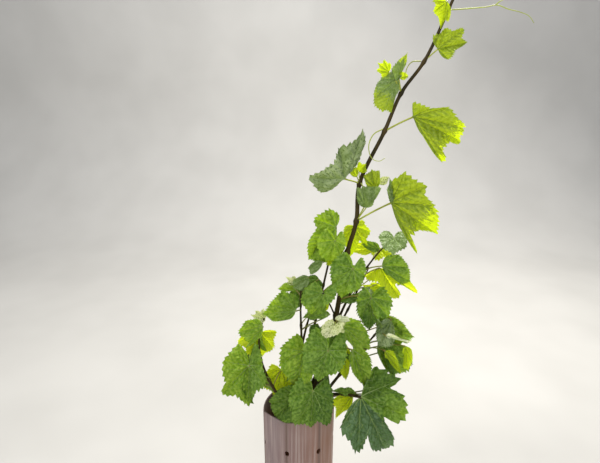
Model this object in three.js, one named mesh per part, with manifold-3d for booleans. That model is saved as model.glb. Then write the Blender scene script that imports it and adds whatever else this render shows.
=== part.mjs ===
// A young grapevine in leaf, rooted in the ground, with a folded plastic grow tube round its trunk.
// Millimetres. +Z is up, +X is to the viewer's right and +Y points away from the viewer.
// The origin is the middle of the flat cut under the trunk, at ground level.
import * as THREE from "three";
import { mergeVertices } from "three/addons/utils/BufferGeometryUtils.js";
import Module from "manifold-3d";

const wasm = await Module();
wasm.setup();

// Clearance between neighbouring pieces
const GAP = 0.35;

// Trunk: root flare, graft union just above the ground, and the head that the shoots spring from
const HEAD_HEIGHT = 272;
const TRUNK_RADIUS = 9.5;
const TRUNK_TAPER = 1.5;
const FLARE = 9;
const FLARE_HEIGHT = 22;
const GRAFT_HEIGHT = 52;
const GRAFT_SWELL = 4.5;
const GRAFT_REACH = 13;
const HEAD_SWELL = 5.5;
const HEAD_REACH = 20;
const TRUNK_LEAN = 9;
const TRUNK_CROOK = 6;
const TRUNK_SIDES = 12;
const TRUNK_STEPS = 20;

// Grow tube: a six-sided sleeve folded from twin-wall sheet, with one vent hole on each fold
const TUBE_WIDTH = 148;
const TUBE_SHIFT = 4;
const TUBE_DEPTH = 112;
const TUBE_HEIGHT = 340;
const TUBE_WALL = 3;
const TUBE_FOLDS = 6;
const FIRST_FOLD = -18;
const FOLD_SQUEEZE = 9;
const FLATNESS = 0.5;
const POINTS_PER_FACE = 4;
const VENT_RADIUS = 4.5;
const VENT_STRETCH = 1.5;
const VENT_DROP = 74;
const VENT_SIDES = 8;

// Main shoot: a joint at each knot, where the shoot bends a little from side to side
const MAIN_KNOTS = [
  [6, -1, 258],
  [36, -4, 339],
  [49, 4, 392],
  [60, -3, 467],
  [76, 4, 540],
  [83, -3, 600],
  [93, 3, 668],
  [106, -3, 728],
  [110, 4, 794],
  [146, -4, 882],
  [171, 4, 942],
  [202, -3, 989],
  [234, 4, 1062],
  [257, -3, 1126],
  [279, 3, 1180],
  [294, -2, 1228],
  [305, 2, 1266],
  [311, 0, 1298],
];
const MAIN_BASE_RADIUS = 5.8;
const MAIN_TIP_RADIUS = 1.3;
const MAIN_SIDES = 7;
const MAIN_STEPS = 40;

// Side shoots: four control points each, from the head outwards
const SIDE_SHOOTS = {
  left_shoot: [[-4, -5, 262], [34, -18, 372], [2, -36, 500], [10, -30, 622]],
  far_left_shoot: [[-7, -2, 263], [-8, -18, 372], [-98, -44, 450], [-56, -45, 562]],
  right_shoot: [[10, 4, 262], [45, 18, 400], [80, 24, 580], [165, 10, 682]],
  right_low_shoot: [[12, -4, 264], [52, 4, 384], [110, -6, 440], [172, -14, 545]],
  centre_shoot: [[2, 8, 262], [10, 34, 380], [48, 40, 560], [72, 10, 706]],
  back_shoot: [[-3, 9, 263], [4, 32, 376], [0, 92, 430], [52, 96, 560]],
  back_right_shoot: [[7, 8, 262], [20, 28, 376], [80, 92, 430], [150, 98, 600]],
};
const SIDE_BASE_RADIUS = 4.2;
const SIDE_TIP_RADIUS = 1.6;
const SIDE_SIDES = 6;
const SIDE_STEPS = 9;

// Masses of leaves round the mouth of the tube: centre and half sizes
const LOW_MASSES = {
  far_left_low_leaves: [[-92, -40, 430], [44, 42, 68]],
  far_left_upper_leaves: [[-74, -36, 526], [37, 34, 50]],
  left_middle_leaves: [[-10, -28, 448], [42, 42, 64]],
  front_low_leaves: [[8, -60, 388], [60, 44, 56]],
  front_middle_leaves: [[78, -64, 497], [60, 46, 62]],
  right_low_leaves: [[140, -70, 380], [70, 40, 90]],
  left_upper_leaves: [[6, -36, 592], [66, 44, 48]],
  centre_upper_leaves: [[68, -38, 668], [54, 42, 62]],
  right_middle_leaves: [[170, -26, 518], [58, 46, 90]],
  right_upper_leaves: [[176, 14, 644], [58, 48, 68]],
  top_leaves: [[86, 40, 690], [66, 44, 52]],
  back_low_leaves: [[12, 74, 408], [84, 48, 66]],
  back_left_leaves: [[12, 56, 538], [68, 60, 60]],
  back_right_leaves: [[148, 56, 430], [82, 62, 80]],
  back_upper_leaves: [[140, 70, 566], [82, 60, 68]],
};
const UNEVENNESS = 0.16;
const WAVE_TURNS = { x: 3.1, y: 3.7, z: 4.3 };
const WAVE_SHIFTS = { x: 2.3, y: 1.7, z: 2.9 };
const WAVE_SKEW = 2;
const MASS_DETAIL = 2;

// Leaves up the main shoot, each a thin lobed pad on its stalk: the knot it springs from, the foot of
// the blade, the length of the midrib, the way the upper face looks, its droop and its spin, in degrees
const UPPER_LEAVES = {
  upper_leaf_1: { knot: 7, foot: [155, -20, 763], midrib: 88, face: -80, droop: 76, spin: 52 },
  upper_leaf_2: { knot: 7, foot: [128, -26, 800], midrib: 40, face: -100, droop: 60, spin: -10 },
  upper_leaf_3: { knot: 8, foot: [74, -16, 846], midrib: 72, face: -120, droop: 62, spin: -46 },
  upper_leaf_4: { knot: 9, foot: [196, -14, 899], midrib: 84, face: -78, droop: 70, spin: 52 },
  upper_leaf_5: { knot: 10, foot: [157, -6, 964], midrib: 64, face: -150, droop: 66, spin: -24 },
  upper_leaf_6: { knot: 11, foot: [229, -6, 1010], midrib: 48, face: -78, droop: 64, spin: 70 },
  upper_leaf_7: { knot: 12, foot: [222, -4, 1092], midrib: 46, face: -104, droop: 72, spin: -20 },
  upper_leaf_8: { knot: 13, foot: [284, -8, 1146], midrib: 44, face: -70, droop: 60, spin: 48 },
  upper_leaf_9: { knot: 14, foot: [264, 8, 1206], midrib: 36, face: -120, droop: 56, spin: -30 },
  upper_leaf_10: { knot: 15, foot: [314, -4, 1246], midrib: 28, face: -60, droop: 46, spin: 34 },
};
const PAD_THICKNESS = 5;
const STALK_RADIUS = 1.8;
const STALK_SAG = 5;
const STALK_SIDES = 6;
const STALK_STEPS = 4;
const LOBE_SPACING = 52;
const LOBE_DEPTH = 0.2;
const LAST_LOBE = 148;
const LAST_LOBE_SHARE = 0.5;
const PAD_POINTS = 17;
const SINUS = 0.05;

// The long tendril that reaches out near the top of the main shoot
const TENDRIL_POINTS = [
  [232, 2, 1062],
  [254, 2, 1064],
  [291, 2, 1066],
  [324, 2, 1064],
  [367, 2, 1044],
];
const TENDRIL_RADIUS = 1.4;
const TENDRIL_SIDES = 6;
const TENDRIL_STEPS = 10;

// The unopened tip of the main shoot
const TIP_MASS = [[313, 0, 1296], [17, 15, 24]];

const BARK = { color: 0x4a3826, roughness: 0.85, metalness: 0 };
const CANE = { color: 0x4d4a22, roughness: 0.6, metalness: 0 };
const LEAF = { color: 0x5f8a2c, roughness: 0.55, metalness: 0 };
const YOUNG_LEAF = { color: 0x98b13a, roughness: 0.55, metalness: 0 };
const SHEET = { color: 0x86706a, roughness: 0.5, metalness: 0 };

const plant = new THREE.Group();

// A closed three.js geometry as a solid that can be joined and cut
function solid(geometry) {
  geometry.deleteAttribute("normal");
  geometry.deleteAttribute("uv");
  const merged = mergeVertices(geometry, 1e-4);
  return new wasm.Manifold(new wasm.Mesh({
    numProp: 3,
    vertProperties: new Float32Array(merged.getAttribute("position").array),
    triVerts: new Uint32Array(merged.getIndex().array),
  }));
}

// The piece less its neighbours, without the crumbs that the cuts leave
function carve(piece, neighbours) {
  const cut = neighbours.reduce((rest, neighbour) => rest.subtract(neighbour), piece);
  const bodies = cut.decompose();
  bodies.sort((first, second) => second.volume() - first.volume());
  return bodies[0];
}

function addNode(name, piece, finish) {
  const mesh = piece.getMesh();
  const geometry = new THREE.BufferGeometry();
  geometry.setAttribute("position", new THREE.BufferAttribute(mesh.vertProperties, 3));
  geometry.setIndex(new THREE.BufferAttribute(mesh.triVerts, 1));
  geometry.computeVertexNormals();
  const node = new THREE.Mesh(geometry, new THREE.MeshStandardMaterial(finish));
  node.name = name;
  plant.add(node);
}

function point(place) {
  return new THREE.Vector3(place[0], place[1], place[2]);
}

// A smooth hump of height 1 at a place along a limb
function hump(distance, reach) {
  return Math.exp(-((distance / reach) ** 2));
}

// A tapering limb: a closed cylinder bent along a curve, its radius given by its share of the way
function limb(curve, radiusAt, sides, steps, grow = 0) {
  const geometry = new THREE.CylinderGeometry(1, 1, 1, sides, steps);
  const frames = curve.computeFrenetFrames(steps, false);
  const places = geometry.getAttribute("position");
  for (let i = 0; i < places.count; i += 1) {
    const step = Math.round((places.getY(i) + 0.5) * steps);
    const radius = radiusAt(step / steps) + grow;
    const place = curve.getPointAt(step / steps);
    place.addScaledVector(frames.binormals[step], places.getX(i) * radius);
    place.addScaledVector(frames.normals[step], places.getZ(i) * radius);
    if (step === 0) place.addScaledVector(frames.tangents[step], -grow);
    if (step === steps) place.addScaledVector(frames.tangents[step], grow);
    places.setXYZ(i, place.x, place.y, place.z);
  }
  return solid(geometry);
}

// Trunk
function trunkRadius(share) {
  const height = share * HEAD_HEIGHT;
  return TRUNK_RADIUS - TRUNK_TAPER * share
    + FLARE * hump(height, FLARE_HEIGHT)
    + GRAFT_SWELL * hump(height - GRAFT_HEIGHT, GRAFT_REACH)
    + HEAD_SWELL * hump(height - HEAD_HEIGHT + HEAD_REACH / 2, HEAD_REACH)
    - HEAD_SWELL * 2 * hump(height - HEAD_HEIGHT, HEAD_REACH / 4);
}

const trunkCurve = new THREE.CubicBezierCurve3(
  point([0, 0, 0]),
  point([0, 0, HEAD_HEIGHT / 3]),
  point([-TRUNK_CROOK, TRUNK_CROOK, 2 * HEAD_HEIGHT / 3]),
  point([TRUNK_LEAN / 2, 0, HEAD_HEIGHT]),
);
const trunk = limb(trunkCurve, trunkRadius, TRUNK_SIDES, TRUNK_STEPS);
const roundTrunk = limb(trunkCurve, trunkRadius, TRUNK_SIDES, TRUNK_STEPS, GAP);
addNode("trunk", trunk, BARK);

// Shoots
const mainCurve = new THREE.CatmullRomCurve3(MAIN_KNOTS.map(point), false, "centripetal");

function mainRadius(share) {
  return MAIN_BASE_RADIUS + (MAIN_TIP_RADIUS - MAIN_BASE_RADIUS) * share;
}

function sideRadius(share) {
  return SIDE_BASE_RADIUS + (SIDE_TIP_RADIUS - SIDE_BASE_RADIUS) * share;
}

const mainShoot = limb(mainCurve, mainRadius, MAIN_SIDES, MAIN_STEPS);
const roundMain = limb(mainCurve, mainRadius, MAIN_SIDES, MAIN_STEPS, GAP);
addNode("main_shoot", carve(mainShoot, [roundTrunk]), CANE);

// A side shoot stops where it enters the mass at its own end
const END_MASS = {
  left_shoot: "left_upper_leaves",
  far_left_shoot: "far_left_upper_leaves",
  right_shoot: "right_upper_leaves",
  right_low_shoot: "right_middle_leaves",
  centre_shoot: "top_leaves",
  back_shoot: "back_left_leaves",
  back_right_shoot: "back_upper_leaves",
};
const roundShoots = [roundTrunk, roundMain];
for (const [name, controls] of Object.entries(SIDE_SHOOTS)) {
  const curve = new THREE.CubicBezierCurve3(...controls.map(point));
  const shoot = limb(curve, sideRadius, SIDE_SIDES, SIDE_STEPS);
  const end = massSolid(END_MASS[name], GAP);
  const stub = carve(shoot, [...roundShoots, end]);
  addNode(name, stub, CANE);
  roundShoots.push(limb(curve, sideRadius, SIDE_SIDES, SIDE_STEPS, GAP));
}

// Grow tube
// The angle of a point of its outline at a turn from the first fold; the two folds beside it are drawn in
function tubeAngle(turn) {
  return THREE.MathUtils.degToRad(FIRST_FOLD - 90 - FOLD_SQUEEZE * Math.sin(turn)) + turn;
}

function tubeOutline(inset) {
  const points = [];
  const faceAngle = 2 * Math.PI / TUBE_FOLDS;
  const corner = Math.cos(faceAngle / 2);
  for (let i = 0; i < TUBE_FOLDS * POINTS_PER_FACE; i += 1) {
    const pastFold = (i % POINTS_PER_FACE) / POINTS_PER_FACE * faceAngle;
    const angle = tubeAngle(i / POINTS_PER_FACE * faceAngle);
    const flat = corner / Math.cos(pastFold - faceAngle / 2);
    const reach = 1 - FLATNESS + FLATNESS * flat;
    points.push(new THREE.Vector2(
      TUBE_SHIFT + Math.cos(angle) * (TUBE_WIDTH / 2 - inset) * reach,
      Math.sin(angle) * (TUBE_DEPTH / 2 - inset) * reach,
    ));
  }
  return points;
}

function tubeSolid(grow) {
  const section = new THREE.Shape(tubeOutline(-grow));
  section.holes.push(new THREE.Path(tubeOutline(TUBE_WALL + grow)));
  const geometry = new THREE.ExtrudeGeometry(section, { depth: TUBE_HEIGHT + grow, bevelEnabled: false });
  return solid(geometry);
}

// A bar through the wall at one fold, for its vent hole
function ventBar(fold) {
  const angle = tubeAngle(fold * 2 * Math.PI / TUBE_FOLDS);
  const way = Math.atan2(Math.sin(angle) * TUBE_DEPTH, Math.cos(angle) * TUBE_WIDTH);
  const bar = new THREE.CylinderGeometry(VENT_RADIUS, VENT_RADIUS, TUBE_DEPTH / 2, VENT_SIDES);
  bar.rotateZ(-Math.PI / 2);
  bar.translate(TUBE_DEPTH / 2, 0, 0);
  bar.rotateZ(way);
  bar.scale(1, 1, VENT_STRETCH);
  bar.translate(TUBE_SHIFT, 0, TUBE_HEIGHT - VENT_DROP);
  return solid(bar);
}

const ventBars = Array.from({ length: TUBE_FOLDS }, (_, fold) => ventBar(fold));
addNode("grow_tube", carve(tubeSolid(0), ventBars), SHEET);
const roundTube = tubeSolid(GAP);

// Masses of leaves: uneven rounded solids, each with humps of its own
function massSolid(name, grow) {
  const seed = Object.keys(LOW_MASSES).indexOf(name);
  return unevenSolid(LOW_MASSES[name], seed, grow);
}

function unevenSolid([centre, half], seed, grow) {
  const geometry = new THREE.IcosahedronGeometry(1, MASS_DETAIL);
  const places = geometry.getAttribute("position");
  const way = new THREE.Vector3();
  for (let i = 0; i < places.count; i += 1) {
    way.fromBufferAttribute(places, i).normalize();
    const wave = Math.sin(WAVE_TURNS.x * way.x + WAVE_SHIFTS.x * seed)
      + Math.sin(WAVE_TURNS.y * way.y + WAVE_SHIFTS.y * seed)
      + Math.sin(WAVE_TURNS.z * way.z + WAVE_SHIFTS.z * seed + WAVE_SKEW * way.x);
    const reach = 1 + UNEVENNESS * wave / 3;
    places.setXYZ(
      i,
      centre[0] + way.x * (half[0] * reach + grow),
      centre[1] + way.y * (half[1] * reach + grow),
      centre[2] + way.z * (half[2] * reach + grow),
    );
  }
  return solid(geometry);
}

// The outline of a grape leaf: rounded lobes round the end of its stalk, with a notch at the stalk
function leafShape(midrib) {
  const points = [];
  for (let i = 0; i <= PAD_POINTS; i += 1) {
    const turn = (i / PAD_POINTS * 2 - 1) * LAST_LOBE;
    const side = Math.abs(turn) / LAST_LOBE;
    const lobe = Math.abs(Math.cos(turn / LOBE_SPACING * Math.PI));
    const reach = midrib * (1 - (1 - LAST_LOBE_SHARE) * side) * (1 - LOBE_DEPTH * (1 - lobe));
    const angle = THREE.MathUtils.degToRad(turn);
    points.push(new THREE.Vector2(Math.sin(angle) * reach, Math.cos(angle) * reach));
  }
  points.push(new THREE.Vector2(0, -SINUS * midrib));
  return new THREE.Shape(points);
}

// Axes of a blade: across it, along its midrib to the tip, and out of its upper face
function bladeAxes({ face, droop, spin }) {
  const [look, hang, turn] = [face, droop, spin].map(THREE.MathUtils.degToRad);
  const tip = new THREE.Vector3(
    Math.cos(look) * Math.cos(hang), Math.sin(look) * Math.cos(hang), -Math.sin(hang));
  const normal = new THREE.Vector3(
    Math.cos(look) * Math.sin(hang), Math.sin(look) * Math.sin(hang), Math.cos(hang));
  tip.applyAxisAngle(normal, turn);
  const across = new THREE.Vector3().crossVectors(tip, normal);
  return new THREE.Matrix4().makeBasis(across, tip, normal);
}

function upperLeaf(leaf, grow) {
  const blade = new THREE.ExtrudeGeometry(leafShape(leaf.midrib + 2 * grow), {
    depth: PAD_THICKNESS + 2 * grow,
    bevelEnabled: false,
  });
  blade.translate(0, 0, -PAD_THICKNESS / 2 - grow);
  blade.applyMatrix4(bladeAxes(leaf));
  const foot = point(leaf.foot);
  blade.translate(foot.x, foot.y, foot.z);
  const knot = point(MAIN_KNOTS[leaf.knot]);
  const middle = knot.clone().lerp(foot, 0.5);
  middle.z += STALK_SAG;
  const line = new THREE.QuadraticBezierCurve3(knot, middle, foot);
  return solid(blade).add(limb(line, () => STALK_RADIUS + grow, STALK_SIDES, STALK_STEPS));
}

const roundMasses = [];
for (const name of Object.keys(LOW_MASSES)) {
  addNode(name, carve(massSolid(name, 0), [...roundShoots, roundTube, ...roundMasses]), LEAF);
  roundMasses.push(massSolid(name, GAP));
}
for (const [name, leaf] of Object.entries(UPPER_LEAVES)) {
  addNode(name, carve(upperLeaf(leaf, 0), [roundMain, ...roundMasses]), YOUNG_LEAF);
  roundMasses.push(upperLeaf(leaf, GAP));
}
const tendrilCurve = new THREE.CatmullRomCurve3(TENDRIL_POINTS.map(point), false, "centripetal");
const tendril = limb(tendrilCurve, () => TENDRIL_RADIUS, TENDRIL_SIDES, TENDRIL_STEPS);
addNode("long_tendril", carve(tendril, [roundMain, ...roundMasses]), YOUNG_LEAF);
const tipMass = unevenSolid(TIP_MASS, Object.keys(LOW_MASSES).length, 0);
addNode("tip_leaves", carve(tipMass, [roundMain, ...roundMasses]), YOUNG_LEAF);

export default plant;
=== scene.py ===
# A young grapevine in leaf, with a folded grow tube round its trunk. Metres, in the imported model's frame.
import math
from collections import defaultdict

import bpy
import numpy as np
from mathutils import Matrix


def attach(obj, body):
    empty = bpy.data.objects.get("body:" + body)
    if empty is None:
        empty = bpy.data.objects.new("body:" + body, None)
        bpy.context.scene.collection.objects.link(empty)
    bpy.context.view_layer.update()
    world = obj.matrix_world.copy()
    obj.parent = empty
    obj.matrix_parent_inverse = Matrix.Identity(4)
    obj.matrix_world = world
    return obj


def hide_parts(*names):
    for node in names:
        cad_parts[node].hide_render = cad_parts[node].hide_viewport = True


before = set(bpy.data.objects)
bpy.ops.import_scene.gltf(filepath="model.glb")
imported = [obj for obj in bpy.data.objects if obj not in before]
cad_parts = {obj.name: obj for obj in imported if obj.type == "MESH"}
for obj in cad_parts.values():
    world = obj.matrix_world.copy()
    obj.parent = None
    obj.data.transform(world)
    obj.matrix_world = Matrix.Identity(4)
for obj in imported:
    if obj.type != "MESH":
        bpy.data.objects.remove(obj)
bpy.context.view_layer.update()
SEED = 11
rng = np.random.default_rng(SEED)
scene = bpy.context.scene

# Camera of the photograph
PHOTO_WIDTH = 600
PHOTO_HEIGHT = 463
FOCAL_PX = 430.0
PITCH = math.radians(17.7)
EYE = np.array([0.0076, -0.725, 0.94])
SENSOR_MM = 36.0
NEAREST_SEEN = 0.01
AHEAD = np.array([0.0, math.cos(PITCH), -math.sin(PITCH)])
UP = np.array([0.0, math.sin(PITCH), math.cos(PITCH)])


def linked(name, data):
    """A new object, linked to the scene."""
    item = bpy.data.objects.new(name, data)
    scene.collection.objects.link(item)
    return item


def new_mesh(name, points, faces):
    mesh = bpy.data.meshes.new(name)
    mesh.from_pydata(np.asarray(points).tolist(), [], np.asarray(faces).tolist())
    return mesh


def add_camera():
    data = bpy.data.cameras.new("camera")
    data.sensor_fit = "HORIZONTAL"
    data.sensor_width = SENSOR_MM
    data.lens = FOCAL_PX / PHOTO_WIDTH * SENSOR_MM
    data.clip_start = NEAREST_SEEN
    camera = linked("camera", data)
    camera.location = EYE
    camera.rotation_euler = (math.pi / 2 - PITCH, 0, 0)
    scene.camera = camera


add_camera()


def spot(pixel, depth):
    """The place seen at a pixel of the photograph, on the upright plane that far behind the trunk."""
    ray = AHEAD + UP * (PHOTO_HEIGHT / 2 - pixel[1]) / FOCAL_PX
    ray = ray + np.array([(pixel[0] - PHOTO_WIDTH / 2) / FOCAL_PX, 0.0, 0.0])
    return EYE + ray * (depth - EYE[1]) / ray[1]


def pixels_of(places):
    """The pixels of the photograph at which places are seen."""
    offset = places - EYE
    scale = FOCAL_PX / (offset @ AHEAD)
    across = PHOTO_WIDTH / 2 + offset[:, 0] * scale
    down = PHOTO_HEIGHT / 2 - offset @ UP * scale
    return np.stack([across, down], axis=-1)


# Stems, with the same knots and control points as the solids
TRUNK_HEIGHT = 0.272
TRUNK_CONTROLS = [(0, 0, 0), (0, 0, TRUNK_HEIGHT / 3), (-0.006, 0.006, 2 * TRUNK_HEIGHT / 3),
    (0.0045, 0, TRUNK_HEIGHT)]
MAIN_KNOTS = [
    (0.006, -0.001, 0.258), (0.036, -0.004, 0.339), (0.049, 0.004, 0.392), (0.060, -0.003, 0.467),
    (0.076, 0.004, 0.540), (0.083, -0.003, 0.600), (0.093, 0.003, 0.668), (0.106, -0.003, 0.728),
    (0.110, 0.004, 0.794), (0.146, -0.004, 0.882), (0.171, 0.004, 0.942), (0.202, -0.003, 0.989),
    (0.234, 0.004, 1.062), (0.257, -0.003, 1.126), (0.279, 0.003, 1.180), (0.294, -0.002, 1.228),
    (0.305, 0.002, 1.266), (0.311, 0.000, 1.298),
]
SIDE_CONTROLS = {
    "left_shoot": [(-0.004, -0.005, 0.262), (0.034, -0.018, 0.372), (0.002, -0.036, 0.500),
        (0.010, -0.030, 0.622)],
    "far_left_shoot": [(-0.007, -0.002, 0.263), (-0.008, -0.018, 0.372), (-0.098, -0.044, 0.450),
        (-0.056, -0.045, 0.562)],
    "right_shoot": [(0.010, 0.004, 0.262), (0.045, 0.018, 0.400), (0.080, 0.024, 0.580),
        (0.165, 0.010, 0.682)],
    "right_low_shoot": [(0.012, -0.004, 0.264), (0.052, 0.004, 0.384), (0.110, -0.006, 0.440),
        (0.172, -0.014, 0.545)],
    "centre_shoot": [(0.002, 0.008, 0.262), (0.010, 0.034, 0.380), (0.048, 0.040, 0.560),
        (0.072, 0.010, 0.706)],
    "back_shoot": [(-0.003, 0.009, 0.263), (0.004, 0.032, 0.376), (0.000, 0.092, 0.430),
        (0.052, 0.096, 0.560)],
    "back_right_shoot": [(0.007, 0.008, 0.262), (0.020, 0.028, 0.376), (0.080, 0.092, 0.430),
        (0.150, 0.098, 0.600)],
}
MAIN_RADII = (0.0058, 0.0012)
SIDE_RADII = (0.0042, 0.0013)
SIDE_STEPS = 120
NEARLY_ALONG = 0.9


def unit(vector):
    return vector / np.linalg.norm(vector)


def hump(distance, reach):
    """A smooth bump, 1 at no distance."""
    return np.exp(-(distance / reach) ** 2)


def bezier(controls, count):
    a, b, c, d = (np.array(p, dtype=float) for p in controls)
    t = np.linspace(0, 1, count)[:, None]
    return (1 - t) ** 3 * a + 3 * t * (1 - t) ** 2 * b + 3 * t ** 2 * (1 - t) * c + t ** 3 * d


def mixed(p, q, start, end, t):
    """From p at the start to q at the end, at times t."""
    return (end - t) / (end - start) * p + (t - start) / (end - start) * q


def through(knots, per_span=16):
    """A smooth line through its knots: a centripetal spline, like the solid's."""
    knots = np.array(knots, dtype=float)
    padded = np.vstack([2 * knots[0] - knots[1], knots, 2 * knots[-1] - knots[-2]])
    line = []
    for p0, p1, p2, p3 in zip(padded, padded[1:], padded[2:], padded[3:]):
        t1 = np.linalg.norm(p1 - p0) ** 0.5
        t2 = t1 + np.linalg.norm(p2 - p1) ** 0.5
        t3 = t2 + np.linalg.norm(p3 - p2) ** 0.5
        t = np.linspace(t1, t2, per_span, endpoint=False)[:, None]
        a2 = mixed(p1, p2, t1, t2, t)
        b1 = mixed(mixed(p0, p1, 0, t1, t), a2, 0, t2, t)
        b2 = mixed(a2, mixed(p2, p3, t2, t3, t), t1, t3, t)
        line.append(mixed(b1, b2, t1, t2, t))
    return np.vstack(line + [knots[-1:]])


def lengths(line):
    """How far along a line each of its points lies."""
    steps = np.linalg.norm(np.diff(line, axis=0), axis=1)
    return np.concatenate([[0], np.cumsum(steps)])


def even(line, count):
    """The line again, with its points at equal steps."""
    along = lengths(line)
    wanted = np.linspace(0, along[-1], count)
    return np.stack([np.interp(wanted, along, line[:, axis]) for axis in range(3)], axis=1)


stems = {name: bezier(controls, SIDE_STEPS) for name, controls in SIDE_CONTROLS.items()}
stems["main_shoot"] = through(MAIN_KNOTS)


class Heap:
    """Triangles gathered from many small shapes and made into one object at the end."""

    def __init__(self):
        self.points = []
        self.faces = []
        self.size = 0

    def add(self, points, faces):
        used, faces = np.unique(faces, return_inverse=True)
        self.points.append(points[used])
        self.faces.append(faces.reshape(-1, 3) + self.size)
        self.size += len(used)

    def mesh(self, name):
        return new_mesh(name, np.concatenate(self.points), np.concatenate(self.faces))


heaps = defaultdict(Heap)


def finished(name, mesh, material, nodes):
    """Link a mesh as a smooth piece that rides on the plant and stands for its solids."""
    mesh.polygons.foreach_set("use_smooth", [True] * len(mesh.polygons))
    mesh.materials.append(material)
    mesh.update()
    piece = linked(name, mesh)
    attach(piece, "root")
    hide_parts(*nodes)


def build(name, material, nodes):
    """Make one piece of the heap of that name."""
    finished(name, heaps[name].mesh(name), material, nodes)


def ring_corners(rows, count):
    """The four corners of each face between closed rows of points, count to a row."""
    i = np.arange(rows - 1)[:, None] * count
    j = np.arange(count)[None, :]
    k = (j + 1) % count
    return i + j, i + k, i + count + k, i + count + j


def halved(a, b, c, d):
    """Two triangles for each four-sided face."""
    return np.vstack([np.stack([a, b, c], -1).reshape(-1, 3), np.stack([a, c, d], -1).reshape(-1, 3)])


def frames_along(line):
    """Two steady cross directions at each point of a line."""
    tangents = np.gradient(line, axis=0)
    tangents /= np.linalg.norm(tangents, axis=1)[:, None]
    normal = np.array([0.0, 1.0, 0.0] if abs(tangents[0][1]) < NEARLY_ALONG else [1.0, 0.0, 0.0])
    normals = []
    for tangent in tangents:
        normal = unit(normal - tangent * normal.dot(tangent))
        normals.append(normal)
    normals = np.array(normals)
    return normals, np.cross(tangents, normals)


def sweep(heap, line, radii, sides, relief=None):
    """A closed round limb along a line. relief(along, angle) scales the radius."""
    normals, binormals = frames_along(line)
    angles = np.linspace(0, 2 * math.pi, sides, endpoint=False)
    reach = np.broadcast_to(np.asarray(radii, dtype=float)[..., None], (len(line), sides)).copy()
    if relief is not None:
        reach *= relief(lengths(line)[:, None], angles[None, :])
    x = normals[:, None] * np.cos(angles)[None, :, None]
    y = binormals[:, None] * np.sin(angles)[None, :, None]
    body = line[:, None] + (x + y) * reach[..., None]
    points = np.vstack([body.reshape(-1, 3), line[:1], line[-1:]])
    first, last = len(points) - 2, len(points) - 1
    end = (len(line) - 1) * sides
    j = np.arange(sides)
    k = (j + 1) % sides
    start_cap = np.stack([np.full(sides, first), k, j], -1)
    end_cap = np.stack([np.full(sides, last), end + j, end + k], -1)
    heap.add(points, np.vstack([halved(*ring_corners(len(line), sides)), start_cap, end_cap]))


# Leaf blades. Lengths are shares of the midrib: x across, y towards the tip, z out of the upper face
LAST_ANGLE = 176.0
CLOSING_ANGLE = 28.0
CLOSING_STEPS = ((0.40, 0.74), (0.75, 0.40))
NOTCH_REACH = 0.03
LEAST_REACH = 0.02
END_SLOPE = 1.5
BAY_DEPTHS = {"round": 0.94, "lobed": 0.80, "deep": 0.62}
USUAL_LOBES = ((52, 0.84), (102, 0.68), (146, 0.50))
CHANNEL_DEPTH, CHANNEL_WIDTH, CHANNEL_START = 0.036, 0.035, 0.08
PUFF_HEIGHT, PUFF_WIDTH = 0.050, 0.10
RIPPLE_HEIGHT, RIPPLE_START = 0.013, 0.05
USUAL_WAVE, WAVE_COUNT, FINE_WAVE_COUNT, FINE_WAVE_SHARE = 0.03, 5, 11, 0.6
DIMPLE_HEIGHT, DIMPLE_PACE_X, DIMPLE_PACE_Y = 0.010, 9, 8
FOLD_SOFTNESS = 0.0025
BACK_BEND = 0.5
STRAIGHT = 1e-4
FAR_AWAY = 10.0
OUTLINE_STEPS = 400
TOOTH_PHASES = (0.0, 0.30, 0.55, 0.80)
TOOTH_HEIGHTS = (-0.55, 1.0, 0.40, -0.10)
TOOTH_SIZES = (0.5, 1.3)
TOOTH_FADE = 3
RIM_SHARPNESS = 10
TINT_SPECKLE = 0.12
TINT_WAVE, TINT_WAVE_PACE = 0.04, 14
FINE, PLAIN, SMALL = (21, 20), (15, 12), (9, 8)

# Veins, in the same shares
MAIN_VEIN_STEPS, MAIN_VEIN_END, MAIN_VEIN_TAPER = 9, 0.95, 0.75
MAIN_VEIN_WIDTH, BACK_VEIN_WIDTH, BACK_VEIN_ANGLE = 0.008, 0.005, 120
SIDE_VEIN_STEPS, SIDE_VEIN_WIDTH, SIDE_VEIN_TAPER = 6, 0.0032, 0.4
SIDE_VEIN_SPACING, SIDE_VEIN_SLANT = 0.125, 0.84
SIDE_VEIN_SHARE, SIDE_VEIN_MORE = 0.5, 0.08
VEIN_INSIDE = 0.96
FEWEST_VEIN_STEPS = 3
TINY = 1e-9
EDGE_LIFT, RIDGE_LIFT = 0.0005, 0.001
RIDGE_ABOVE, RIDGE_BELOW = 0.5, 1.2


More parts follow.
